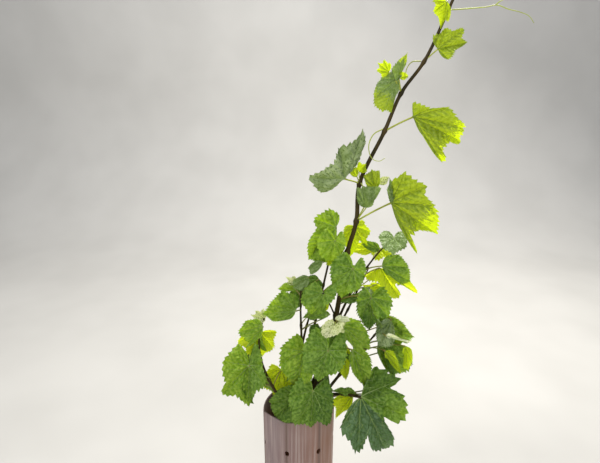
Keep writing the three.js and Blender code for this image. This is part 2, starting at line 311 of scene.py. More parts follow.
class Blade:
    """One blade: its outline on each side of the midrib, its curved surface and its veins."""

    def __init__(self, lobes, edge, kind, fold, bend, cup, detail, tooth, closing=CLOSING_ANGLE,
                 wave=USUAL_WAVE):
        self.lobes = {side: sorted(lobes[side]) for side in (-1, 1)}
        self.outline = {side: self.side_outline(self.lobes[side], edge[side], BAY_DEPTHS[kind], closing)
                        for side in (-1, 1)}
        self.fold = math.radians(fold)
        self.bend = bend
        self.cup = cup
        self.wave = wave
        self.phase = rng.uniform(0, 2 * math.pi, 3)
        self.teeth, self.rings = detail
        self.tooth = tooth

    @staticmethod
    def side_outline(lobes, edge, bay_depth, closing):
        """Angles and reaches down one side, through the lobes and the edge or a bay between them."""
        points = [(0.0, 1.0)]
        for angle, reach in lobes:
            last_angle, last_reach = points[-1]
            between = [point for point in edge if last_angle < point[0] < angle]
            usual = ((last_angle + angle) / 2, bay_depth * (last_reach + reach) / 2)
            points += sorted(between) or [usual]
            points.append((angle, reach))
        angle, reach = points[-1]
        closing = min(LAST_ANGLE - angle, closing)
        points += [(angle + closing * turn, reach * share) for turn, share in CLOSING_STEPS]
        points.append((angle + closing, NOTCH_REACH))
        return np.array(points).T

    def reach(self, theta):
        """Distance from the end of the stalk to the smooth edge, at angles from the midrib."""
        out = np.empty_like(theta)
        for side, (degrees, reaches) in self.outline.items():
            here = theta < 0 if side < 0 else theta >= 0
            rises = np.diff(reaches) / np.diff(degrees)
            steady = rises[1:] * rises[:-1] > 0
            middle = np.where(steady, 2 * rises[1:] * rises[:-1] / (rises[1:] + rises[:-1] + (~steady)), 0.0)
            slope = np.concatenate([[rises[0] * END_SLOPE], middle, [rises[-1] * END_SLOPE]])
            x = np.clip(np.abs(np.degrees(theta[here])), 0, degrees[-1])
            k = np.clip(np.searchsorted(degrees, x) - 1, 0, len(degrees) - 2)
            step = degrees[k + 1] - degrees[k]
            t = (x - degrees[k]) / step
            out[here] = (
                (2 * t ** 3 - 3 * t ** 2 + 1) * reaches[k] + (t ** 3 - 2 * t ** 2 + t) * step * slope[k]
                + (3 * t ** 2 - 2 * t ** 3) * reaches[k + 1] + (t ** 3 - t ** 2) * step * slope[k + 1]
            )
        return np.maximum(out, LEAST_REACH)

    def edge(self):
        """Angles, smooth reaches and toothed reaches, from one side of the stalk's notch to the other."""
        sides = {}
        for side in (-1, 1):
            fine = np.radians(np.linspace(0.0, self.outline[side][0][-1], OUTLINE_STEPS))
            smooth = self.reach(fine * side)
            x, y = smooth * np.sin(fine), smooth * np.cos(fine)
            along = np.concatenate([[0], np.cumsum(np.hypot(np.diff(x), np.diff(y)))])
            size = np.repeat(rng.uniform(*TOOTH_SIZES, self.teeth), len(TOOTH_PHASES))
            phase = np.concatenate([k + np.array(TOOTH_PHASES) for k in range(self.teeth)] + [[self.teeth]])
            theta = np.interp(phase / self.teeth * along[-1], along, fine)
            height = np.append(np.tile(TOOTH_HEIGHTS, self.teeth) * size * self.tooth, 0.0)
            height[0] = self.tooth
            height = height * np.clip((fine[-1] - theta) * TOOTH_FADE, 0, 1)
            smooth = self.reach(theta * side)
            sides[side] = np.stack([theta * side, smooth, smooth + height])
        return np.hstack([sides[-1][:, :0:-1], sides[1]])

    def surface(self, x, y, lift=0.0):
        """Places on the curved blade for flat places, raised by lift out of the upper face."""
        r = np.hypot(x, y)
        theta = np.arctan2(x, y)
        nearest = np.full_like(x, FAR_AWAY)
        along = np.zeros_like(x)
        for side in (-1, 1):
            for degrees in (0.0, *(angle for angle, _ in self.lobes[side])):
                off = theta - side * math.radians(degrees)
                across = np.where(np.cos(off) > 0, r * np.abs(np.sin(off)), FAR_AWAY)
                closer = across < nearest
                nearest = np.where(closer, across, nearest)
                along = np.where(closer, r * np.cos(off), along)
        z = -CHANNEL_DEPTH * hump(nearest, CHANNEL_WIDTH) * np.minimum(1, r / CHANNEL_START)
        z += PUFF_HEIGHT * (1 - hump(nearest, PUFF_WIDTH))
        turns = (along - SIDE_VEIN_SLANT * nearest) / SIDE_VEIN_SPACING
        z -= RIPPLE_HEIGHT * np.cos(2 * math.pi * turns) * np.clip(nearest / RIPPLE_START, 0, 1)
        z += self.wave * r ** 2 * np.sin(WAVE_COUNT * theta + self.phase[0])
        z += self.wave * FINE_WAVE_SHARE * r ** 3 * np.sin(FINE_WAVE_COUNT * theta + self.phase[1])
        z += (DIMPLE_HEIGHT * np.sin(DIMPLE_PACE_X * x + self.phase[2])
              * np.sin(DIMPLE_PACE_Y * y + self.phase[1]))
        z -= self.cup * x ** 2
        z += (np.sqrt(x ** 2 + FOLD_SOFTNESS) - math.sqrt(FOLD_SOFTNESS)) * math.sin(self.fold)
        z += lift
        turn = self.bend * np.where(y > 0, y, y * BACK_BEND)
        bent = np.abs(turn) > STRAIGHT
        safe = np.where(bent, turn, 1.0)
        run = np.where(bent, np.sin(safe) / safe, 1.0)
        drop = np.where(bent, (1 - np.cos(safe)) / safe, 0.0)
        return np.stack([
            x * math.cos(self.fold),
            y * run + z * np.sin(turn),
            -y * drop + z * np.cos(turn),
        ], axis=-1)

    def mesh(self):
        """Points, triangles, and each triangle's angle and height on the flat blade, a little speckled."""
        theta, smooth, reach = self.edge()
        shares = np.arange(1, self.rings + 1) / self.rings
        r = smooth[:, None] * shares[None, :] + (reach - smooth)[:, None] * shares[None, :] ** RIM_SHARPNESS
        x = r * np.sin(theta)[:, None]
        y = r * np.cos(theta)[:, None]
        points = np.vstack([self.surface(x, y).reshape(-1, 3), self.surface(np.zeros(1), np.zeros(1))])
        i = np.arange(len(theta) - 1)[:, None] * self.rings
        j = np.arange(self.rings - 1)[None, :]
        a, b = i + j, i + self.rings + j
        hub = np.full(len(i), len(points) - 1)
        faces = np.vstack([halved(a, b, b + 1, a + 1), np.stack([hub, i[:, 0] + self.rings, i[:, 0]], -1)])
        flat_x, flat_y = x.reshape(-1), y.reshape(-1)
        wavy_y = flat_y + TINT_WAVE * np.sin(TINT_WAVE_PACE * flat_x)
        across = np.append(flat_x, 0.0)[faces].mean(axis=1)
        height = np.append(wavy_y, 0.0)[faces].mean(axis=1)
        speckle = rng.uniform(-TINT_SPECKLE, TINT_SPECKLE, len(faces))
        turn = np.degrees(np.arctan2(across, height) + speckle)
        return points, faces, turn, height + speckle

    def vein_paths(self):
        """Flat paths of the veins: (x, y, half widths)."""
        mains = [(0.0, 1)]
        for side in (-1, 1):
            mains += [(angle, side) for angle, _ in self.lobes[side]]
        paths = []
        for degrees, side in mains:
            s = np.linspace(0.0, MAIN_VEIN_END, MAIN_VEIN_STEPS)
            theta = np.full(MAIN_VEIN_STEPS, side * math.radians(degrees))
            length = self.reach(theta[:1])[0]
            widest = MAIN_VEIN_WIDTH if degrees < BACK_VEIN_ANGLE else BACK_VEIN_WIDTH
            width = widest * (1 - MAIN_VEIN_TAPER * s)
            paths.append((length * s * np.sin(theta), length * s * np.cos(theta), width))
            for number in range(1, int(length / SIDE_VEIN_SPACING)):
                for hand in (-1, 1):
                    start = number * SIDE_VEIN_SPACING
                    t = np.linspace(0, SIDE_VEIN_SHARE * (length - start) + SIDE_VEIN_MORE, SIDE_VEIN_STEPS)
                    ahead = start + SIDE_VEIN_SLANT * t
                    x = ahead * math.sin(theta[0]) + hand * t * math.cos(theta[0])
                    y = ahead * math.cos(theta[0]) - hand * t * math.sin(theta[0])
                    inside = np.hypot(x, y) < VEIN_INSIDE * self.reach(np.arctan2(x, y))
                    keep = len(inside) if inside.all() else int(np.argmin(inside))
                    if keep >= FEWEST_VEIN_STEPS:
                        width = SIDE_VEIN_WIDTH * np.linspace(1, SIDE_VEIN_TAPER, keep)
                        paths.append((x[:keep], y[:keep], width))
        return paths

    def veins(self):
        """Raised ridges along the veins, low on the upper face and proud of the lower one."""
        all_points, all_faces = [], []
        count = 0
        for x, y, width in self.vein_paths():
            along = np.stack([np.gradient(x), np.gradient(y)], -1)
            along /= np.maximum(np.linalg.norm(along, axis=1), TINY)[:, None]
            top, bottom = width * RIDGE_ABOVE + RIDGE_LIFT, -width * RIDGE_BELOW - RIDGE_LIFT
            points = np.stack([
                self.surface(x + hand * along[:, 1] * width, y - hand * along[:, 0] * width, lift)
                for hand, lift in ((-1, EDGE_LIFT), (0, top), (1, EDGE_LIFT), (0, bottom))
            ], axis=1).reshape(-1, 3)
            all_points.append(points)
            all_faces.append(halved(*ring_corners(len(x), 4)) + count)
            count += len(points)
        return np.vstack(all_points), np.vstack(all_faces)


# Leaves that the photograph shows. Pixels: foot and tip are the midrib's ends, lobes the ends of the side
# veins and edge other points of the outline. depth is how far behind the trunk's axis the foot lies, lean
# how much farther the tip lies, and roll and fold turn the blade about its midrib, in degrees. knot is the
# joint of the main shoot that a leaf springs from, and root_height the height on its shoot
# sectors tint parts of a blade lighter or darker as painted light and shade; tip_tint gives the end its own
# tone, with painted light shining through
SEEN = {
    "far_left_big": dict(foot=(249, 366), tip=(249, 406), depth=-0.062, lean=-0.012, roll=8, fold=22,
        lobes=((237, 348), (223, 365), (222, 394), (264, 386), (262, 367), (254, 346)),
        edge=((226, 381), (236, 393), (242, 398), (254, 395), (257, 389)), painted_light_sectors=((0, 180, "light"),),
        shoot="far_left_shoot"),
    "far_left_grey": dict(foot=(263, 327), tip=(245, 348), depth=-0.060, fold=20, tint="light",
        lobes=((256, 320), (245, 322), (239, 332), (258, 339)), edge=((245, 337), (250, 342)),
        shoot="far_left_shoot"),
    "far_left_bright": dict(foot=(260, 333), tip=(259, 359), depth=-0.026, kind="lobed", tint="sunlit",
        lobes=((246, 329), (238, 343), (249, 354), (273, 348), (276, 333)), shoot="far_left_shoot"),
    "far_left_small": dict(foot=(265, 320), tip=(251, 315), depth=-0.045, fold=24, tint="downy",
        lobes=((263, 309), (256, 311), (254, 321), (262, 323)), kind="lobed", shoot="far_left_shoot"),
    "left_upper": dict(foot=(296, 311), tip=(263, 314), depth=-0.045, fold=22,
        lobes=((293, 294), (281, 292), (270, 304), (273, 321), (286, 320)), tip_tint="light", tip_from=0.5,
        shoot="left_shoot"),
    "left_top_grey": dict(foot=(309, 277), tip=(293, 288), depth=-0.030, fold=20, tint="grey",
        lobes=((301, 276), (293, 281), (304, 290)), shoot="left_shoot"),
    "left_top_pale": dict(foot=(296, 290), tip=(278, 289), depth=-0.020, fold=20, tint="light",
        lobes=((292, 284), (285, 283), (283, 292), (291, 291)), shoot="left_shoot"),
    "left_top_white": dict(foot=(296, 284), tip=(286, 277), depth=-0.016, tint="downy", kind="lobed",
        lobes=((294, 276), (287, 283)), shoot="left_shoot"),
    "left_top_dark": dict(foot=(319, 279), tip=(300, 292), depth=-0.010, tint="dark",
        lobes=((322, 286), (313, 275), (304, 280), (312, 292)), shoot="left_shoot"),
    "left_inner": dict(foot=(304, 296), tip=(288, 303), depth=0.000, fold=20, tint="dark",
        lobes=((301, 288), (291, 291), (297, 308)), shoot="left_shoot"),
    "left_centre": dict(foot=(323, 293), tip=(312, 314), depth=-0.066, fold=14,
        lobes=((314, 283), (304, 290), (301, 301), (322, 305), (334, 299), (335, 285)),
        edge=((306, 307), (317, 309)), tip_tint="light", tip_from=0.7, root_height=0.535),
    "left_ledge": dict(foot=(330, 314), tip=(302, 317), depth=-0.015, roll=30,
        lobes=((324, 311), (310, 311), (311, 320), (322, 319)), shoot="left_shoot"),
    "left_ledge_bright": dict(foot=(328, 300), tip=(318, 312), depth=0.010, tint="sunlit",
        lobes=((322, 301), (316, 305), (327, 310)), shoot="left_shoot"),
    "left_middle": dict(foot=(304, 352), tip=(297, 386), depth=-0.058, tint="light",
        lobes=((297, 337), (281, 350), (280, 364), (309, 381), (313, 362)), edge=((287, 374),),
        tip_tint="bright", tip_from=0.8, shoot="left_shoot"),
    "left_low_bright": dict(foot=(281, 370), tip=(276, 397), depth=0.004, kind="lobed", tint="sunlit",
        lobes=((271, 366), (262, 376), (264, 388), (290, 394), (298, 385), (291, 371)),
        shoot="far_left_shoot"),
    "rim_left": dict(foot=(298, 396), tip=(275, 416), depth=-0.032, fold=20,
        lobes=((291, 386), (280, 389), (270, 404), (292, 422)), shoot="left_shoot"),
    "rim_front": dict(foot=(313, 391), tip=(311, 427), depth=-0.066, lean=-0.012, fold=20, tint="dark",
        closing=16, painted_light_sectors=((0, 180, "mid"),),
        lobes=((307, 377), (289, 399), (298, 426), (328, 424), (333, 405), (326, 382)),
        edge=((292, 411), (305, 423), (318, 419)), shoot="left_shoot"),
    "front_centre": dict(foot=(328, 351), tip=(318, 382), depth=-0.096, fold=8,
        lobes=((323, 329), (314, 331), (303, 353), (308, 374), (341, 369), (346, 352), (341, 333)),
        edge=((313, 373), (328, 373))),
    "front_inner": dict(foot=(333, 333), tip=(330, 352), depth=-0.080, tint="dark",
        lobes=((322, 336), (321, 346), (341, 348), (346, 338))),
    "downy_leaf": dict(foot=(334, 325), tip=(326, 338), depth=-0.108, fold=16, tint="downy",
        lobes=((322, 329), (327, 321), (332, 320), (343, 324), (341, 331)), edge=((322, 333), (334, 335)),
        shoot="downy_twig"),
    "downy_fold": dict(foot=(337, 319), tip=(350, 321), depth=-0.098, fold=24, tint="pale",
        lobes=((343, 316), (348, 317), (343, 322)), shoot="downy_twig"),
    "downy_tuft": dict(foot=(336, 320), tip=(341, 315), depth=-0.102, fold=24, tint="pale",
        lobes=((336, 317), (341, 318)), shoot="downy_twig"),
    "front_right": dict(foot=(342, 325), tip=(358, 351), depth=-0.084, fold=24, roll=-12, tint="light",
        lobes=((350, 319), (361, 323), (368, 334), (369, 350), (348, 341)), edge=((368, 342), (363, 347))),
    "front_low_right": dict(foot=(352, 350), tip=(367, 388), depth=-0.052, fold=20, tint="light",
        lobes=((361, 348), (371, 362), (350, 363), (356, 377)), edge=((368, 377),)),
    "front_bright": dict(foot=(345, 343), tip=(346, 381), depth=-0.020, tint="sunlit",
        lobes=((340, 371), (350, 362))),
    "front_small_dark": dict(foot=(318, 324), tip=(312, 338), depth=-0.030, tint="dark",
        lobes=((310, 327), (320, 334)), shoot="left_shoot"),
    "low_right_big": dict(foot=(361, 397), tip=(387, 452), depth=-0.075, lean=-0.012, fold=8, cup=0.06,
        closing=9, root_height=0.365, painted_light_sectors=((-70, -22, "mid"), (-180, -70, "dark"), (70, 180, "dark")),
        lobes=((350, 408), (341, 429), (358, 451), (404, 416), (401, 382), (376, 371)), edge=((343, 421),
        (349, 437), (351, 443), (366, 432), (369, 443), (379, 449), (391, 446), (392, 434), (384, 420),
        (381, 413), (393, 419), (405, 406), (401, 394), (391, 389), (392, 376)), kind="deep", tint="blue",
        shoot="right_low_shoot"),
    "low_right_bright": dict(foot=(353, 394), tip=(336, 418), depth=-0.040, kind="lobed", tint="sunlit",
        lobes=((333, 401), (347, 410)), shoot="right_low_shoot"),
    "low_right_band": dict(foot=(356, 393), tip=(332, 391), depth=-0.045, roll=30,
        lobes=((345, 388), (345, 396)), shoot="right_low_shoot"),
    "right_folded": dict(foot=(379, 341), tip=(400, 374), depth=-0.012, fold=30,
        lobes=((394, 342), (406, 348), (411, 366), (389, 372), (379, 356)), edge=((404, 370),),
        shoot="right_low_shoot"),
    "right_folded_bright": dict(foot=(405, 346), tip=(408, 370), depth=-0.045, roll=20, tint="young",
        lobes=((411, 350), (412, 362), (403, 366), (404, 354)), shoot="right_low_shoot"),
    "right_folded_edge": dict(foot=(385, 351), tip=(401, 373), depth=-0.050, roll=30, tint="young",
        lobes=((393, 352), (398, 361), (388, 359), (394, 367)), shoot="right_low_shoot"),
    "right_edge": dict(foot=(376, 325), tip=(414, 337), depth=-0.020, fold=22, tint="light",
        lobes=((384, 315), (394, 317), (406, 327), (407, 343), (390, 337)), shoot="right_low_shoot"),
    "right_edge_pale": dict(foot=(386, 336), tip=(411, 341), depth=-0.064, roll=20, tint="pale",
        lobes=((388, 334), (391, 338), (409, 343)), edge=((400, 338), (402, 341)), shoot="right_low_shoot"),
    "right_edge_grey": dict(foot=(391, 320), tip=(379, 346), depth=-0.042, fold=20, tint="mottled",
        lobes=((384, 320), (376, 333), (392, 345)), shoot="right_low_shoot"),
    "right_centre": dict(foot=(371, 298), tip=(369, 331), depth=-0.052, fold=14,
        lobes=((364, 289), (357, 303), (361, 319), (388, 317), (392, 303), (383, 289)),
        edge=((366, 326), (374, 323), (379, 316)), tip_tint="dark", tip_from=0.5),
    "right_bright": dict(foot=(380, 268), tip=(399, 299), depth=0.030, kind="lobed", tint="sunlit",
        lobes=((416, 293), (366, 278)),
        edge=((400, 293), (394, 283), (401, 284), (392, 297), (382, 286), (377, 281)), shoot="right_shoot"),
    "right_bright_low": dict(foot=(384, 288), tip=(362, 285), depth=0.036, kind="lobed", tint="sunlit",
        lobes=((375, 295), (371, 283)), shoot="back_right_shoot"),
    "right_upper": dict(foot=(382, 266), tip=(411, 282), depth=0.004, tip_tint="light", tip_from=0.75,
        lobes=((389, 256), (399, 255), (408, 267), (401, 284), (390, 276)), shoot="right_shoot"),
    "right_upper_grey": dict(foot=(394, 238), tip=(393, 255), depth=-0.020, lean=-0.030, tint="grey",
        lobes=((386, 229), (379, 238), (384, 249), (405, 248), (408, 239), (401, 229)), shoot="right_shoot"),
    "band": dict(foot=(380, 250), tip=(361, 244), depth=0.020, lobes=((374, 242), (366, 241), (371, 251)),
        shoot="right_shoot"),
    "band_bright": dict(foot=(379, 248), tip=(351, 251), depth=0.040, tint="sunlit",
        lobes=((355, 245), (366, 255), (376, 260), (390, 258), (397, 252)), edge=((371, 253), (383, 257)),
        shoot="right_shoot"),
    "behind_stem": dict(foot=(354, 226), tip=(350, 257), depth=0.030, tint="young", kind="lobed",
        lobes=((345, 227), (342, 243), (366, 248), (370, 233), (363, 221)), edge=((360, 240),)),
    "centre_glossy": dict(foot=(335, 241), tip=(330, 261), depth=-0.036, fold=14, tint="light",
        lobes=((326, 230), (317, 243), (321, 256), (341, 255), (345, 246), (341, 232)),
        shoot="centre_shoot"),
    "centre_high": dict(foot=(336, 227), tip=(308, 260), depth=-0.002, tint="light",
        lobes=((338, 214), (330, 210), (314, 220), (324, 262)), edge=((317, 228), (309, 243)),
        shoot="centre_shoot"),
    "centre_low_bright": dict(foot=(339, 256), tip=(326, 265), depth=0.000, tint="sunlit",
        lobes=((332, 255), (335, 266)), shoot="centre_shoot"),
    "centre": dict(foot=(353, 269), tip=(341, 299), depth=-0.062, fold=8,
        lobes=((344, 253), (331, 265), (333, 284), (357, 290), (364, 276), (361, 258)), edge=((349, 292),)),
    "centre_grey": dict(foot=(323, 262), tip=(308, 268), depth=-0.020, fold=24, tint="grey",
        lobes=((316, 261), (311, 274)), shoot="centre_shoot"),
    "centre_ledge": dict(foot=(363, 297), tip=(338, 302), depth=-0.004, roll=30, tint="dark",
        lobes=((350, 296), (350, 304))),
    "upper_1": dict(foot=(391, 203), tip=(437, 234), depth=-0.022, fold=24, roll=8, tint="bright",
        lobes=((395, 182), (408, 176), (427, 187), (434, 206), (418, 255), (404, 234)),
        edge=((425, 195), (436, 220), (426, 230), (416, 229), (410, 234), (414, 243), (411, 246)), closing=8,
        tip_tint="young", tip_from=0.6, knot=7),
    "upper_1_base": dict(foot=(391, 203), tip=(390, 178), depth=-0.022, tint="grey", roll=40,
        lobes=((387, 190), (394, 190)), knot=7),
    "upper_2": dict(foot=(366, 208), tip=(363, 187), depth=-0.020, fold=20, tint="grey",
        lobes=((357, 188), (357, 198), (381, 189), (374, 201)), knot=7),
    "upper_2b": dict(foot=(375, 188), tip=(372, 170), depth=-0.010, tint="bright", fold=20,
        lobes=((366, 184), (364, 176), (379, 171), (380, 181)), knot=7),
    "upper_2c": dict(foot=(379, 184), tip=(389, 177), depth=-0.006, tint="downy", fold=26,
        lobes=((382, 177), (386, 184)), knot=7),
    "upper_3": dict(foot=(345, 179), tip=(364, 130), depth=-0.016, fold=-34, roll=44, tint="mottled",
        lobes=((338, 147), (310, 185), (326, 198), (360, 148), (352, 168)),
        edge=((351, 140), (330, 163), (320, 173), (315, 191)), closing=8, knot=8),
    "upper_3b": dict(foot=(357, 177), tip=(350, 165), depth=-0.006, tint="young", fold=24,
        lobes=((356, 167), (350, 173)), kind="lobed", knot=8),
    "upper_3c": dict(foot=(359, 172), tip=(366, 164), depth=-0.002, tint="young", fold=24,
        lobes=((359, 162), (367, 171)), kind="lobed", knot=8),
    "upper_4": dict(foot=(413, 117), tip=(460, 141), depth=-0.020, fold=26, roll=8, tint="bright",
        lobes=((414, 104), (431, 109), (449, 108), (463, 127), (443, 163), (423, 136)),
        edge=((458, 144), (448, 141), (441, 148), (445, 157), (434, 154)), closing=8, tip_tint="young",
        tip_from=0.75, knot=9),
    "upper_5": dict(foot=(398, 79), tip=(383, 111), depth=-0.004, fold=-16, roll=10, tint="grey",
        lobes=((391, 113), (396, 96), (374, 98), (381, 78), (392, 70)), edge=((376, 107),),
        tip_tint="bright", tip_from=0.55, knot=10),
    "upper_5_top": dict(foot=(396, 81), tip=(408, 53), depth=-0.006, tint="grey", roll=30,
        lobes=((392, 69), (402, 72)), tip_tint="young", tip_from=0.7, knot=10),
    "upper_5b": dict(foot=(389, 72), tip=(378, 63), depth=0.004, tint="young", kind="lobed",
        lobes=((390, 63), (384, 60), (377, 70), (382, 77)), knot=10),
    "upper_5c": dict(foot=(399, 77), tip=(408, 76), depth=-0.004, tint="young", fold=30,
        lobes=((401, 72), (404, 80)), knot=10),
    "upper_6": dict(foot=(438, 49), tip=(468, 42), depth=-0.006, tint="bright", kind="lobed", fold=16,
        lobes=((435, 35), (447, 28), (463, 29), (449, 59)), edge=((454, 51),), knot=11),
    "upper_7": dict(foot=(447, 1), tip=(441, 28), depth=-0.004, tint="young", kind="lobed", fold=24,
        lobes=((433, 1), (434, 12), (448, 21)), knot=12),
}

# The solids that the leaves stand for
UPPER_NODES = [f"upper_leaf_{number}" for number in range(1, 11)] + ["tip_leaves"]
MASSES = (
    "far_left_low", "far_left_upper", "left_middle", "front_low", "front_middle", "right_low", "left_upper",
    "centre_upper", "right_middle", "right_upper", "top", "back_low", "back_left", "back_right", "back_upper",
)
ALL_LEAF_NODES = [mass + "_leaves" for mass in MASSES] + UPPER_NODES

# Tints whose veins are deep green, and measures of the stalks, the leaves in the photograph and the others
DEEP_VEINED = ("bright", "young", "sunlit")
STALK_STEPS, STALK_SIDES = 14, 8
STALK_RADIUS, STALK_RADIUS_SHARE = 0.0006, 0.010
STALK_FOOT, STALK_FOOT_LENGTH = 0.6, 0.06
STALK_END, STALK_END_LENGTH = 0.25, 0.05
STALK_RISE = 0.45
STALK_LEAD, STALK_TURN = 0.3, 0.5
STALK_ARCH, LEVEL_ARCH = 0.4, 0.12
WOODY_SHARE = 1.5
OUTLINE_REACH, OUTLINE_POINTS = 2.8, 48
NOTCH_MARGIN = 8
LONGEST_REACH = 1.4
FINE_FROM, PLAIN_FROM, OTHER_PLAIN_FROM = 0.045, 0.028, 0.03
TOOTH_SHARE, TOOTH_LENGTH, OTHER_TOOTH = 0.028, 0.0005, 0.045
OTHER_WAVE = 0.04
ANGLE_JITTER = 4
REACH_JITTER = (0.92, 1.08)
seen_outlines = []


def turned(vector, axis, angle):
    """A vector turned about an axis by the right-hand rule."""
    return (vector * math.cos(angle) + np.cross(axis, vector) * math.sin(angle)
            + axis * axis.dot(vector) * (1 - math.cos(angle)))


def square_to(vector, axis):
    """The vector's direction, turned square to an axis of length 1."""
    return unit(vector - axis * vector.dot(axis))


def placed(points, foot, midrib, normal, size):
    """Points of a blade's own frame, in the scene."""
    axes = np.stack([np.cross(midrib, normal), midrib, normal])
    return foot + points @ axes * size


def stalk_root(shoot, foot):
    """Where on a shoot a leaf's stalk springs from: a little below the leaf."""
    line = stems[shoot]
    across = np.linalg.norm(line[:, :2] - foot[:2], axis=1)
    cost = across + np.abs(line[:, 2] - (foot[2] - STALK_RISE * across))
    return line[int(np.argmin(cost))]


def add_stalk(root, pose, arch=STALK_ARCH, heap="stalks", thickness=1.0):
    """A leaf stalk, thicker at both its ends, that rises from its root and comes to the blade from below."""
    foot, midrib, normal, size = pose
    span = np.linalg.norm(foot - root)
    rise = unit(foot - root) + np.array([0, 0, arch])
    turn_in = (unit(foot - root) + normal * arch + midrib * arch * STALK_TURN) * STALK_LEAD
    line = bezier([root, root + rise * span * STALK_LEAD, foot - turn_in * span, foot], STALK_STEPS)
    share = np.linspace(0, 1, STALK_STEPS)
    radius = (STALK_RADIUS + STALK_RADIUS_SHARE * size) * thickness
    swells = 1 + STALK_FOOT * hump(share, STALK_FOOT_LENGTH) + STALK_END * hump(1 - share, STALK_END_LENGTH)
    sweep(heaps[heap], line, radius * swells, STALK_SIDES)


def add_blade(blade, pose, tint, painted_light_sectors=(), tip_tint=None, tip_from=0.5, veins="pale"):
    """Put a blade in its place. sectors are other tints, each between two angles from the midrib: painted
    light and shade on parts of the blade. The tip's tint is its own tone with painted light shining through.
    """
    points, faces, turn, height = blade.mesh()
    tints = np.full(len(faces), tint, dtype=object)
    for low, high, painted_tint in painted_light_sectors:
        tints[(turn > low) & (turn <= high)] = painted_tint
    if tip_tint is not None:
        tints[height > tip_from] = tip_tint
    for name in sorted(set(tints)):
        heaps["leaves_" + name].add(placed(points, *pose), faces[tints == name])
    points, faces = blade.veins()
    kind = "deep" if tint in DEEP_VEINED else veins
    heaps["veins_" + kind].add(placed(points, *pose), faces)


def outline_pixels(blade, pose):
    """The blade's outline in the photograph."""
    theta = np.linspace(-OUTLINE_REACH, OUTLINE_REACH, OUTLINE_POINTS)
    reach = blade.reach(theta)
    return pixels_of(placed(blade.surface(reach * np.sin(theta), reach * np.cos(theta)), *pose))


def within(pixels, outline):
    """Which pixels lie inside a closed outline, by counting the sides to the right of each."""
    x, y = pixels[:, :1], pixels[:, 1:]
    (x1, y1), (x2, y2) = outline.T, np.roll(outline, -1, axis=0).T
    beside = (y1 > y) != (y2 > y)
    rise = np.where(y2 == y1, 1.0, y2 - y1)
    return (beside & (x < x1 + (x2 - x1) * (y - y1) / rise)).sum(axis=1) % 2 == 1


def seen_through(pixel, place, normal):
    """Where the line of sight through a pixel meets the plane at a place."""
    ray = spot(pixel, 0.0) - EYE
    return EYE + ray * (place - EYE).dot(normal) / ray.dot(normal)


def add_seen_leaf(foot, tip, depth, lobes, edge=(), shoot="main_shoot", knot=None, root_height=None,
                  lean=0.0, roll=0.0, tint="mid", kind="round", fold=12.0, bend=0.45, cup=0.10,
                  closing=CLOSING_ANGLE, **half_tints):
    """A leaf where the photograph shows it, on its stalk. A side with no lobes mirrors the other side."""
    base = spot(foot, depth)
    end = spot(tip, depth + lean)
    chord = np.linalg.norm(end - base)
    midrib = (end - base) / chord
    normal = turned(square_to(EYE - base, midrib), midrib, math.radians(roll))
    across = np.cross(midrib, normal)
    tilt = math.radians(fold)

    def polar(pixel):
        """A pixel as a side of the midrib, an angle and a reach, on the half blade that it shows."""
        side = 1 if (seen_through(pixel, base, normal) - base).dot(across) > 0 else -1
        out = across * side * math.cos(tilt) + normal * math.sin(tilt)
        offset = seen_through(pixel, base, np.cross(midrib, out)) - base
        x, y = offset.dot(out), offset.dot(midrib)
        return side, math.degrees(math.atan2(abs(x), y)), min(math.hypot(x, y) / chord, LONGEST_REACH)

    ends = {-1: [], 1: []}
    notches = {-1: [], 1: []}
    for pixels, found in ((lobes, ends), (edge, notches)):
        for pixel in pixels:
            side, angle, reach = polar(pixel)
            if angle < LAST_ANGLE - NOTCH_MARGIN:
                found[side].append((angle, reach))
    for side in (-1, 1):
        if not ends[side]:
            ends[side] = ends[-side]
            notches[side] = notches[-side]
    size = chord * bend / math.sqrt(2 * (1 - math.cos(bend)))
    detail = FINE if size > FINE_FROM else PLAIN if size > PLAIN_FROM else SMALL
    blade = Blade(ends, notches, kind, fold, bend, cup, detail, TOOTH_SHARE + TOOTH_LENGTH / size, closing)
    pose = (base, turned(midrib, across, bend / 2), turned(normal, across, bend / 2), size)
    add_blade(blade, pose, tint, **half_tints)
    seen_outlines.append(outline_pixels(blade, pose))
    if knot is not None:
        add_stalk(np.array(MAIN_KNOTS[knot]), pose, LEVEL_ARCH, "green_stalks")
    elif root_height is not None:
        line = stems[shoot]
        root = line[int(np.argmin(np.abs(line[:, 2] - root_height)))]
        add_stalk(root, pose, LEVEL_ARCH, "woody_stalks", WOODY_SHARE)
    else:
        add_stalk(stalk_root(shoot, base), pose)


# A short twig out of the main shoot, which carries the downy young leaves
DOWNY_TWIG_END = dict(pixel=(338, 327), depth=-0.088)
DOWNY_TWIG_RADII = (0.0019, 0.0011)
DOWNY_TWIG_SAG = np.array([0.0, 0.0, -0.008])
DOWNY_TWIG_LEADS = (0.35, 0.3)
DOWNY_TWIG_STEPS, DOWNY_TWIG_SIDES = 40, 12
twig_end = spot(**DOWNY_TWIG_END)
twig_root = stalk_root("main_shoot", twig_end)
twig_span = twig_end - twig_root
twig_controls = [twig_root, twig_root + twig_span * DOWNY_TWIG_LEADS[0],
                 twig_end - twig_span * DOWNY_TWIG_LEADS[1] + DOWNY_TWIG_SAG, twig_end]
stems["downy_twig"] = bezier(twig_controls, DOWNY_TWIG_STEPS)
twig_radii = np.linspace(*DOWNY_TWIG_RADII, DOWNY_TWIG_STEPS)
sweep(heaps["green_stalks"], stems["downy_twig"], twig_radii, DOWNY_TWIG_SIDES)

for leaf in SEEN.values():
    add_seen_leaf(**leaf)


